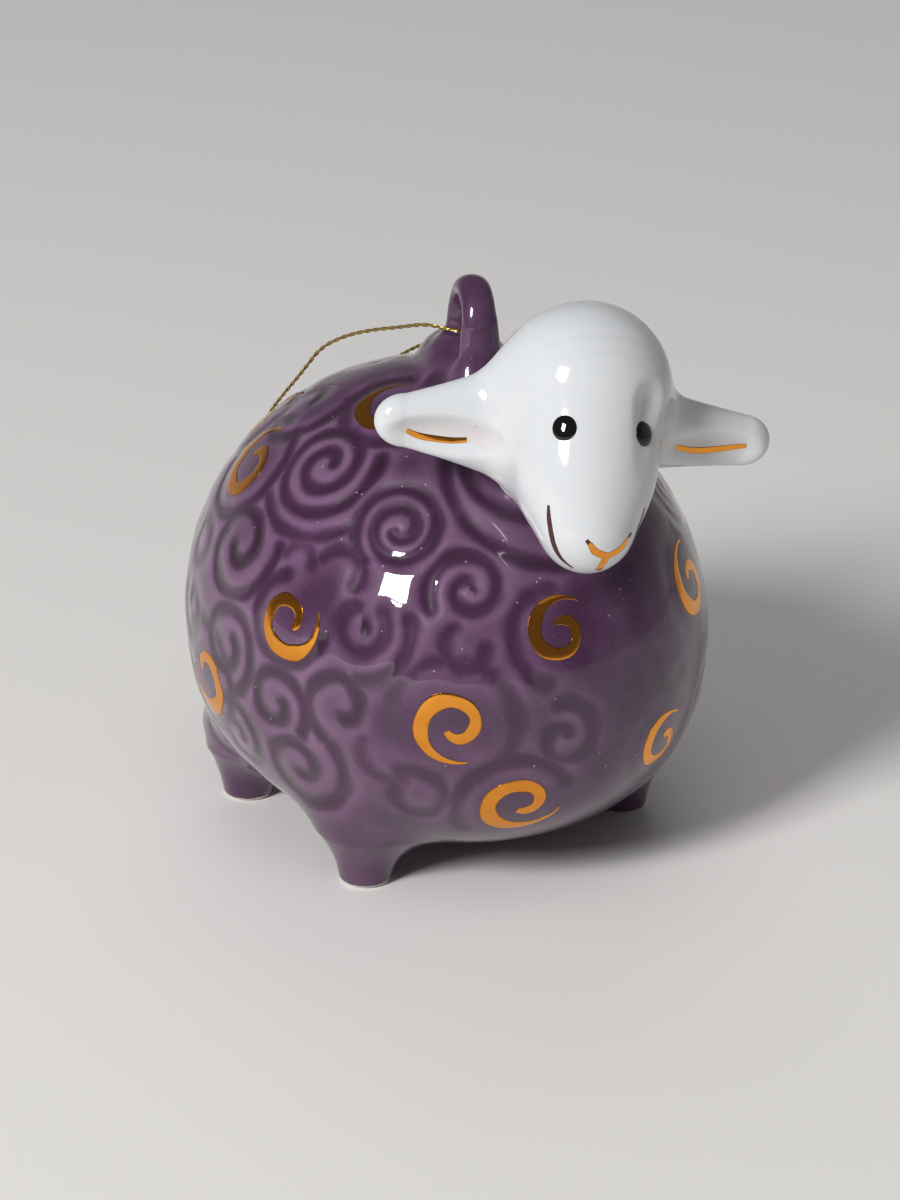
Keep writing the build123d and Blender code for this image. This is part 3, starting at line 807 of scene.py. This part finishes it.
def thread_tree():
    """Twists two plies about each line."""
    group, tree, given = new_group("twisted thread", {
        "Finish": "Material", "Thickness": "Float", "Twist": "Float", "Step": "Float"})
    line = even_lines(tree, given)
    join = tree.node("GeometryNodeJoinGeometry")
    for ply in (0, 1):
        along = tree.get("GeometryNodeSplineParameter", output="Length")
        angle = along / given["Twist"] * (2 * math.pi) + math.pi * ply
        normal = tree.get("GeometryNodeInputNormal")
        across = tree.vector("CROSS_PRODUCT", normal, tree.get("GeometryNodeInputTangent"))
        offset = tree.vector("ADD", tree.scale(normal, tree.math("COSINE", angle)),
                             tree.scale(across, tree.math("SINE", angle)))
        offset = tree.scale(offset, given["Thickness"] * PLY_OFFSET)
        strand = tree.get("GeometryNodeSetPosition", None, {"Geometry": line, "Offset": offset})
        strand = sweep(tree, strand, ring_of(tree, PLY_SIDES, given["Thickness"] * PLY_RADIUS))
        tree.nodes.links.new(strand.socket, join.inputs[0])
    close_group(tree, Socket(tree, join.outputs[0]), given["Finish"])
    return group


def bake_tree(name, lines, group, values, attributes=None):
    """A plain mesh from lines of points in metres, put through a node tree."""
    points = [tuple(map(float, point)) for line in lines for point in line]
    edges, first = [], 0
    for line in lines:
        edges += [(first + step, first + step + 1) for step in range(len(line) - 1)]
        first += len(line)
    source = bpy.data.meshes.new(name + "_lines")
    source.from_pydata(points, edges, [])
    for label, (kind, numbers) in (attributes or {}).items():
        store = source.attributes.new(label, kind, "POINT")
        store.data.foreach_set("vector" if kind == "FLOAT_VECTOR" else "value",
                               np.asarray(numbers, np.float32).ravel())
    worker = bpy.data.objects.new(name + "_worker", source)
    bpy.context.scene.collection.objects.link(worker)
    modifier = worker.modifiers.new("nodes", "NODES")
    modifier.node_group = group
    keys = {item.name: item.identifier for item in group.interface.items_tree if item.in_out == "INPUT"}
    for label, value in values.items():
        modifier[keys[label]] = value
    graph = bpy.context.evaluated_depsgraph_get()
    mesh = bpy.data.meshes.new_from_object(worker.evaluated_get(graph))
    bpy.data.objects.remove(worker)
    bpy.data.meshes.remove(source)
    mesh.name = name
    mesh.materials.clear()
    mesh.materials.append(values["Finish"])
    for label in ("spine", "run", "around", "facing", "half_width"):
        if label in mesh.attributes:
            mesh.attributes.remove(mesh.attributes[label])
    piece = bpy.data.objects.new(name, mesh)
    bpy.context.scene.collection.objects.link(piece)
    return piece


# Settings

def measure(name, description, default, low, high):
    """A size that a user may change, in metres."""
    return FloatProperty(name=name, description=description, default=default, min=low, max=high,
                         unit="LENGTH")


def tint(name, description, default):
    """A colour that a user may change."""
    return FloatVectorProperty(name=name, description=description, default=default, size=3, min=0, max=1,
                               subtype="COLOR_GAMMA")


class SheepForm(bpy.types.PropertyGroup):
    """Sizes of the glaze, the paint and the thread"""
    groove_depth: measure("Groove depth", "How far the glaze sinks into the grooves", 0.00022, 0, 0.001)
    clay_depth: measure("Clay depth", "How deep the grooves are pressed in the clay", 0.0009, 0, 0.002)
    body_grain: measure("Body grain", "Spacing of the body's mesh", 0.00062, 0.0005, 0.003)
    head_grain: measure("Head grain", "Spacing of the head's mesh", 0.00042, 0.0003, 0.003)
    curl_width: measure("Curl width", "Widest part of a gilded brush stroke", 0.0026, 0.0005, 0.004)
    film: measure("Film", "How far paint and gold stand above the glaze", 0.00007, 0.00002, 0.0003)
    eye_radius: measure("Eye radius", "Radius of a black eye dot", 0.00185, 0.0005, 0.004)
    thread_thickness: measure("Thread", "Diameter of the twisted thread", 0.0006, 0.0003, 0.002)
    thread_twist: measure("Twist", "Length of one full twist of the thread", 0.0034, 0.001, 0.01)
    seed: IntProperty(name="Seed", description="Arrangement of the hidden sides' spirals", default=7, min=0)


class SheepColours(bpy.types.PropertyGroup):
    """Colours of the glazes, the gold, the thread and the floor"""
    glaze: tint("Glaze", "Purple glaze at its usual thickness", (0.285, 0.17, 0.285))
    pooled: tint("Pooled glaze", "Purple glaze in the grooves", (0.18, 0.085, 0.16))
    thin: tint("Thin glaze", "Purple glaze over the ridges", (0.47, 0.345, 0.465))
    white: tint("White", "White glaze", (0.84, 0.85, 0.86))
    gold: tint("Gold", "Gold lustre", (0.90, 0.56, 0.20))
    thread: tint("Thread", "Metallic thread", (0.92, 0.80, 0.48))
    floor: tint("Floor", "Floor and backdrop", (0.95, 0.94, 0.93))


# Relief

def groove_table(seed):
    """Every pressed groove: those in the photograph's view, and others that fill the hidden sides."""
    table = list(GROOVES)
    taken = [(ball_spot(turn, height)[0], max(inner, outer) + GROOVE_ROOM)
             for turn, height, inner, _, outer, _, _ in table]
    for turn, height, radius, start, sweep, ringed in (*FRONT_CURLS, *RIGHT_CURLS, *LEFT_CURLS, *REAR_CURLS):
        taken.append((ball_spot(turn, height)[0], radius + CURL_ROOM))
        if ringed:
            end = start + math.copysign(330, sweep)
            table.append((turn, height, radius + 1.8, start, radius + 2.0, end, ringed))
    for x, y in FEET:
        taken.append((np.array([x, y, 4.0]), FOOT_ROOM))
    taken.append((np.array(NECK_FOOT), NECK_ROOM))
    taken.append((np.array([LOOP_PLACE[0], LOOP_PLACE[1] + PAD_BACK, PAD_MIDDLE + 2]), PAD_ROOM))
    chance = np.random.RandomState(seed)
    for low, high, tries in HIDDEN_SPIRALS:
        for _ in range(tries):
            radius, turn = chance.uniform(low, high), chance.uniform(-180, 180)
            height = WIDEST + chance.uniform(-0.8, 0.98) * CROWN_RISE
            height = min(max(height, 5.0), WIDEST + CROWN_RISE - 1.0)
            start, hand, depth = chance.uniform(0, 360), chance.choice((-1, 1)), chance.uniform(0.8, 1.0)
            place = ball_spot(turn, height)[0]
            clear = all(np.linalg.norm(place - other) > (radius + reach) * 0.95 for other, reach in taken)
            if clear and not SEEN_FROM < turn < SEEN_TO:
                turns = radius / (2.5 + radius * 0.12)
                table.append((turn, height, 1.2, start, radius - 0.6, start + hand * 360 * turns, depth))
                taken.append((place, radius))
    return table


def press_grooves(points, table):
    """How deep each point lies in the grooves, from 0 to 1."""
    pressed = np.zeros(len(points))
    for turn, height, inner, start, outer, end, share in table:
        place, side, uphill, outward = ball_spot(turn, height)
        offset = points - place
        reach = np.linalg.norm(offset, axis=1)
        near = reach < max(inner, outer) + 3 * GROOVE_HALF
        near &= offset @ outward > -0.6 * max(inner, outer, 2.0)
        reach, local = reach[near], offset[near]
        angle = np.degrees(np.arctan2(local @ uphill, local @ side))
        low, high = min(start, end), max(start, end)
        far = 99.0
        nearest = np.full(len(reach), far)
        for lap in range(math.floor(low / 360) - 1, math.ceil(high / 360) + 2):
            here = angle + 360 * lap
            along = np.clip(here, low, high)
            share_along = (along - start) / (end - start)
            radius = inner + (outer - inner) * share_along
            aside = np.cos(np.radians(here - along))
            gap = np.sqrt(np.maximum(reach ** 2 + radius ** 2 - 2 * reach * radius * aside, 0))
            nearest = np.minimum(nearest, np.where(np.abs(here - along) < 90, gap, far))
        waver = np.sin(local @ uphill * 0.9 + turn) * np.cos(local @ side * 0.7 + height)
        half = GROOVE_HALF * (1 + GROOVE_UNEVEN * waver)
        fall = (nearest / half) ** GROOVE_FLANK
        pressed[near] = np.maximum(pressed[near], share * np.exp(-GROOVE_HALVING * fall))
    return pressed


def press_collar(points):
    """How deep each point lies in the two rings pressed round the foot of the neck."""
    pressed = np.zeros(len(points))
    for middle, radius, facing in COLLAR_RINGS:
        facing = np.array(facing) / np.linalg.norm(facing)
        offset = points - np.array(middle)
        rise = offset @ facing
        ring = np.linalg.norm(offset - rise[:, None] * facing, axis=1)
        aside = (ring - radius) ** 2 + (rise * COLLAR_TILT) ** 2
        pressed = np.maximum(pressed, np.exp(-aside / COLLAR_SPREAD))
    return pressed


# Pieces

def settings():
    """The sizes and the colours of this scene."""
    return bpy.context.scene.sheep_form, bpy.context.scene.sheep_colours


def finish_for(label):
    """The material of one slot of the record, made once."""
    makers = {"purple_glaze": purple_glaze, "white_glaze": white_glaze, "gold_lustre": gold_lustre,
              "black_glaze": black_glaze, "brown_glaze": brown_glaze, "gold_thread": gold_thread}
    found = bpy.data.materials.get(label.replace("_", " "))
    return found or makers[label](settings()[1])


def place_piece(piece, slot, *nodes):
    """Hangs a piece on the root body and hides the nodes that it stands in for; its slot is not used."""
    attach(piece, "root")
    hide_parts(*nodes)


class SHEEP_OT_body(bpy.types.Operator):
    """Make the purple body with its legs, pad and loop"""
    bl_idname = "sheep.body"
    bl_label = "Purple body"

    def execute(self, context):
        form, _ = settings()
        points, quads, outward, links = grow_surface(purple_field, *BODY_ROOM, form.body_grain / MM)
        pressed = np.maximum(press_grooves(points, groove_table(form.seed)), press_collar(points))
        soft = smooth = average(average(pressed, links), links)
        for _ in range(POOL_ROUNDS):
            smooth = average(smooth, links)
        depth = pressed - smooth
        pool = np.clip(0.5 + np.where(depth > 0, POOL_GAIN, THIN_GAIN) * depth, 0, 1)
        relief = facings(points - (soft * form.clay_depth / MM)[:, None] * outward, quads)
        points = points - (soft * form.groove_depth / MM)[:, None] * outward
        points[:, 2] = np.maximum(points[:, 2], 0.0)
        marks = {"pool": pool, "relief": relief}
        piece = make_object("glazed_body", points, quads, finish_for("purple_glaze"), marks)
        place_piece(piece, "purple_glaze", "body_shell", "leg_front_right", "leg_front_left",
                    "leg_rear_right", "leg_rear_left", "loop_pad", "hanging_loop")
        return {"FINISHED"}


class SHEEP_OT_head(bpy.types.Operator):
    """Make the white head with its ears and neck"""
    bl_idname = "sheep.head"
    bl_label = "White head"

    def execute(self, context):
        form, _ = settings()
        points, quads, outward, links = grow_surface(white_field, *HEAD_ROOM, form.head_grain / MM)
        # Painted shade: the deeper a point lies in a hollow of an ear, the more of the pinkish shade tint it
        # gets
        smooth = points
        for _ in range(EAR_SHADE_ROUNDS):
            smooth = average(smooth, links)
        hollow = ((smooth - points) * outward).sum(axis=1)
        aside = np.abs((points - np.array(SKULL)) @ head_axes()[1])
        crease = np.clip(hollow * EAR_SHADE_GAIN - EAR_SHADE_ONSET, 0, 1)
        crease *= np.clip((aside - EAR_SHADE_ASIDE) / EAR_SHADE_RISE, 0, 1)
        piece = make_object("glazed_head", points, quads, finish_for("white_glaze"), {"crease": crease})
        place_piece(piece, "white_glaze", "neck", "head", "ear_left", "ear_right")
        return {"FINISHED"}


def lay_strokes(name, strokes, target, slot, *nodes):
    """Brush strokes, each a list of (point, facing, half width) in millimetres, laid on a piece."""
    form, _ = settings()
    lines = [[(point + BALL) * MM for point, _, _ in stroke] for stroke in strokes]
    facing = [direction for stroke in strokes for _, direction, _ in stroke]
    widths = [half * MM for stroke in strokes for _, _, half in stroke]
    group = bpy.data.node_groups.get("brush strokes") or brush_tree()
    piece = bake_tree(name, lines, group, {
        "Target": bpy.data.objects[target], "Finish": finish_for(slot), "Film": form.film,
        "Reach": STROKE_REACH, "Step": STROKE_STEP},
        {"facing": ("FLOAT_VECTOR", facing), "half_width": ("FLOAT", widths)})
    place_piece(piece, slot, *nodes)


def curl_stroke(turn, height, radius, start, sweep, width):
    """One gilded curl on the ball, with the slight waver of a hand."""
    place, side, uphill, outward = ball_spot(turn, height)
    waver = np.random.RandomState(int(abs(turn) * 10 + height)).uniform(0, 2 * math.pi, 4)
    stroke = []
    shares, widths = zip(*CURL_WIDTHS)
    for share in np.linspace(0, 1, 70):
        reach = radius * (1 - (1 - CURL_INNER) * share)
        reach += 0.10 * math.sin(11 * share + waver[0]) + 0.05 * math.sin(29 * share + waver[1])
        angle = math.radians(start + sweep * share)
        point = place + reach * (math.cos(angle) * side + math.sin(angle) * uphill)
        spread = 1 + 0.07 * math.sin(17 * share + waver[2]) + 0.05 * math.sin(41 * share + waver[3])
        half = width / 2 * spread * radius / FULL_CURL * np.interp(share, shares, widths)
        stroke.append((point, outward, half))
    return stroke


class SHEEP_OT_curls(bpy.types.Operator):
    """Paint the gilded curls on the body"""
    bl_idname = "sheep.curls"
    bl_label = "Gilded curls"

    def execute(self, context):
        form, _ = settings()
        sides = {"front": FRONT_CURLS, "right": RIGHT_CURLS, "left": LEFT_CURLS, "rear": REAR_CURLS}
        for side, table in sides.items():
            strokes = [curl_stroke(*curl[:5], form.curl_width / MM) for curl in table]
            lay_strokes(f"gilded_curls_{side}", strokes, "glazed_body", "gold_lustre", f"gold_curls_{side}")
        return {"FINISHED"}


def face_stroke(places, facing, widths):
    """A brush stroke through places in the head's frame, smoothed."""
    knots = np.array(places, float)
    at = np.linspace(0, len(knots) - 1, 40)
    low = np.clip(at.astype(int), 0, len(knots) - 2)
    share = (at - low)[:, None]
    before, after = knots[np.maximum(low - 1, 0)], knots[np.minimum(low + 2, len(knots) - 1)]
    first, second = knots[low], knots[low + 1]
    line = 0.5 * (2 * first + (second - before) * share
                  + (2 * before - 5 * first + 4 * second - after) * share ** 2
                  + (3 * first - before - 3 * second + after) * share ** 3)
    facing = np.array(facing, float) @ head_axes()
    spread = np.interp(np.linspace(0, 1, 40), np.linspace(0, 1, len(widths)), widths)
    return [(point, facing, half) for point, half in zip(head_points(line), spread)]


class SHEEP_OT_face(bpy.types.Operator):
    """Paint the nose, mouth and ear strokes and set the eyes"""
    bl_idname = "sheep.face"
    bl_label = "Face"

    def execute(self, context):
        form, _ = settings()
        nose, mouth = [], []
        for side in (-1, 1):
            wing, nostril = ([(x, side * y + NOSE_MIDDLE, z) for x, y, z in line]
                             for line in (NOSE_WING, NOSTRIL))
            nose.append(face_stroke(wing, FORWARD, NOSE_WING_WIDTHS))
            lips = [(x, side * y, z) for x, y, z in MOUTH]
            facing = (MOUTH_FACING[0], side * MOUTH_FACING[1], MOUTH_FACING[2])
            mouth.append(face_stroke(lips, facing, MOUTH_WIDTHS))
            mouth.append(face_stroke(nostril, FORWARD, NOSTRIL_WIDTHS))
        nose.append(face_stroke(NOSE_STEM, FORWARD, NOSE_STEM_WIDTHS))
        lay_strokes("gilded_nose", nose, "glazed_head", "gold_lustre", "nose_mark")
        lay_strokes("painted_mouth", mouth, "glazed_head", "brown_glaze", "mouth_line")
        ears = [face_stroke(line, ear_axes(side)[4], EAR_STROKE_WIDTHS) for side, line in EAR_STROKES]
        lay_strokes("gilded_ears", ears, "glazed_head", "gold_lustre", "ear_marks")
        self.eyes(form.eye_radius / MM)
        return {"FINISHED"}

    def eyes(self, radius):
        """Two raised dots of black glaze, each a dome that follows the head under it."""
        around = DOME_PLACES
        points, faces = [], []
        for side in (-1, 1):
            seat, outward = settle(white_field, head_points([(EYE[0], side * EYE[1], EYE[2])]), 6)
            facing = outward[0]
            across = np.cross(facing, (0, 0, 1.0))
            across /= np.linalg.norm(across)
            upward = np.cross(across, facing)
            first = len(points)
            layers = [(math.sin(share * math.pi / 2), math.cos(share * math.pi / 2))
                      for share in np.linspace(0, 1, DOME_RINGS + 1)[1:]] + list(DOME_SKIRT)
            flat = [seat[0]] + [seat[0] + radius * out * (math.cos(turn) * across + math.sin(turn) * upward)
                                for out, _ in layers for turn in np.arange(around) / around * 2 * math.pi]
            lifts = [1.0] + [lift for _, lift in layers for _ in range(around)]
            base, normals = settle(white_field, np.array(flat + [seat[0]]), 4)
            lifts = np.array(lifts + [DOME_FLOOR]) * DOME_HEIGHT
            points += list(base + normals * lifts[:, None])
            for turn in range(around):
                after = (turn + 1) % around
                faces.append((first, first + 1 + turn, first + 1 + after))
                for layer in range(len(layers) - 1):
                    low, high = first + 1 + layer * around, first + 1 + (layer + 1) * around
                    faces.append((low + turn, high + turn, high + after, low + after))
                last = first + 1 + (len(layers) - 1) * around
                faces.append((last + turn, first + 1 + len(layers) * around, last + after))
        piece = make_object("glazed_eyes", np.array(points), faces, finish_for("black_glaze"))
        place_piece(piece, "black_glaze", "eyes")


def nurbs_line(route):
    """Points in metres along the smooth curve that has a route as its control points."""
    curve = bpy.data.curves.new("route", "CURVE")
    curve.dimensions = "3D"
    spline = curve.splines.new("NURBS")
    spline.points.add(len(route) - 1)
    for knot, place in zip(spline.points, route):
        knot.co = (*((np.array(place) + BALL) * MM), 1.0)
    spline.order_u = 3
    spline.use_endpoint_u = True
    spline.resolution_u = 24
    holder = bpy.data.objects.new("route", curve)
    bpy.context.scene.collection.objects.link(holder)
    mesh = bpy.data.meshes.new_from_object(holder)
    line = [tuple(vertex.co) for vertex in mesh.vertices]
    bpy.data.objects.remove(holder)
    bpy.data.curves.remove(curve)
    bpy.data.meshes.remove(mesh)
    return line


class SHEEP_OT_thread(bpy.types.Operator):
    """Twist the hanging thread and tie its knot"""
    bl_idname = "sheep.thread"
    bl_label = "Thread"

    def execute(self, context):
        form, _ = settings()
        group = bpy.data.node_groups.get("twisted thread") or thread_tree()
        values = {"Finish": finish_for("gold_thread"), "Thickness": form.thread_thickness,
                  "Twist": form.thread_twist, "Step": STROKE_STEP}
        turns = np.linspace(0.35, 2 * math.pi + 0.1, 60)
        bend = np.stack([np.sin(turns) + 2 * np.sin(2 * turns), np.cos(turns) - 2 * np.cos(2 * turns),
                         -1.1 * np.sin(3 * turns)], axis=1) * KNOT_SIZE + np.array(KNOT)
        tails = [[np.array(KNOT) + np.array([math.cos(turn) * reach, math.sin(turn) * reach, height])
                  for reach, height in TAIL] for turn in map(math.radians, TAIL_TURNS)]
        lines = [[(point + BALL) * MM for point in line] for line in (bend, *tails)]
        knot = bake_tree("thread_knot", lines, group, values)
        place_piece(knot, "gold_thread", "cord_knot")
        for side, route in (("right", THREAD_RIGHT), ("left", THREAD_LEFT)):
            line = nurbs_line(route)
            thread = bake_tree(f"thread_{side}", [line], group, values)
            place_piece(thread, "gold_thread", f"cord_{side}")
        return {"FINISHED"}


class SHEEP_OT_stage(bpy.types.Operator):
    """Set the floor, the lights and the camera"""
    bl_idname = "sheep.stage"
    bl_label = "Stage"

    def execute(self, context):
        scene = context.scene
        _, colours = settings()
        turn, rise = math.radians(CAMERA_TURN), math.radians(CAMERA_RISE)
        back = Vector((math.sin(turn) * math.cos(rise), -math.cos(turn) * math.cos(rise), math.sin(rise)))
        right = Vector((math.cos(turn), math.sin(turn), 0))
        upward = back.cross(right)
        middle = Vector(BALL) + Vector((0, 0, WIDEST)) + right * CAMERA_AIM[0] + upward * CAMERA_AIM[1]
        camera = bpy.data.objects.new("camera", bpy.data.cameras.new("camera"))
        camera.data.lens, camera.data.sensor_width = CAMERA_LENS, CAMERA_SENSOR
        camera.data.clip_start = 0.01
        place = (middle + back * CAMERA_AWAY) * MM
        camera.matrix_world = Matrix.Translation(place) @ Matrix((right, upward, back)).transposed().to_4x4()
        scene.collection.objects.link(camera)
        scene.camera = camera

        floor = bpy.data.meshes.new("floor")
        corners = [(x * FLOOR_HALF, y * FLOOR_HALF, 0) for x, y in ((-1, -1), (1, -1), (1, 1), (-1, 1))]
        floor.from_pydata(corners, [], [(0, 1, 2, 3)])
        plane = bpy.data.objects.new("floor", floor)
        scene.collection.objects.link(plane)
        paper = Finish("floor paper", {"Specular IOR Level": 0.2})
        shade = tuple(part * 0.97 for part in colours.floor)
        tone = paper.mix(paper.noise(40, 3) * 0.1, rgba(colours.floor), rgba(shade))
        floor.materials.append(paper.feed(Base_Color=tone, Roughness=0.7 + paper.noise(80, 2) * 0.1))

        for lamp in LAMPS:
            self.lamp(*lamp)
        self.surroundings(scene, colours, back)
        scene.view_settings.view_transform = "Standard"
        return {"FINISHED"}

    def surroundings(self, scene, colours, back):
        """Even light, with the floor's colour where the camera or gloss looks at the backdrop."""
        world = bpy.data.worlds.new("studio")
        world.use_nodes = True
        tree = Tree(world.node_tree)
        sight = tree.node("ShaderNodeLightPath")
        seen, mirrored = (Socket(tree, sight.outputs[name]) for name in ("Is Camera Ray", "Is Glossy Ray"))
        sent = tree.get("ShaderNodeTexCoord", output="Generated")
        away = -Vector((back.x, back.y, 0)).normalized()
        beyond = tree.vector("DOT_PRODUCT", sent, tuple(away))
        level = tree.get("ShaderNodeSeparateXYZ", None, {0: sent}, "Z")
        backdrop = tree.clamp(beyond * 2.0), tree.clamp((BACKDROP_TOP - level) * 3.0)
        pale = tree.math("MAXIMUM", seen, mirrored * backdrop[0] * backdrop[1] * BACKDROP_MIRRORED)
        shade = tree.mix(pale, (WORLD_LIGHT, WORLD_LIGHT, WORLD_LIGHT, 1), rgba(colours.floor))
        ground = world.node_tree.nodes["Background"]
        world.node_tree.links.new(shade.socket, ground.inputs["Color"])
        scene.world = world

    def lamp(self, name, direction, away, size, power, mirrored):
        """A soft box, aimed at the ball from a direction in degrees about it."""
        turn, rise = math.radians(direction[0]), math.radians(direction[1])
        back = Vector((math.sin(turn) * math.cos(rise), -math.cos(turn) * math.cos(rise), math.sin(rise)))
        light = bpy.data.lights.new(name, "AREA")
        light.shape = "RECTANGLE"
        light.size, light.size_y = size[0] * MM, size[1] * MM
        light.energy = power
        lamp = bpy.data.objects.new(name, light)
        aim = Vector(BALL) + Vector((0, 0, WIDEST))
        lamp.location = (aim + back * away) * MM
        lamp.rotation_euler = back.to_track_quat("Z", "Y").to_euler()
        lamp.visible_glossy = mirrored
        bpy.context.scene.collection.objects.link(lamp)


class SHEEP_PT_panel(bpy.types.Panel):
    """The sheep's pieces and settings"""
    bl_label = "Sheep ornament"
    bl_space_type = "VIEW_3D"
    bl_region_type = "UI"
    bl_category = "Sheep"

    def draw(self, context):
        for group in (context.scene.sheep_form, context.scene.sheep_colours):
            for name in group.__annotations__:
                self.layout.prop(group, name)
        for operator in OPERATORS:
            self.layout.operator(operator.bl_idname)


OPERATORS = (SHEEP_OT_body, SHEEP_OT_head, SHEEP_OT_curls, SHEEP_OT_face, SHEEP_OT_thread, SHEEP_OT_stage)
CLASSES = (SheepForm, SheepColours, *OPERATORS, SHEEP_PT_panel)


def register():
    for item in CLASSES:
        bpy.utils.register_class(item)
    bpy.types.Scene.sheep_form = PointerProperty(type=SheepForm)
    bpy.types.Scene.sheep_colours = PointerProperty(type=SheepColours)


def unregister():
    del bpy.types.Scene.sheep_form
    del bpy.types.Scene.sheep_colours
    for item in reversed(CLASSES):
        bpy.utils.unregister_class(item)


def main():
    register()
    for operator in OPERATORS:
        area, name = operator.bl_idname.split(".")
        getattr(getattr(bpy.ops, area), name)()
    bpy.context.view_layer.update()


if __name__ == "__main__":
    main()
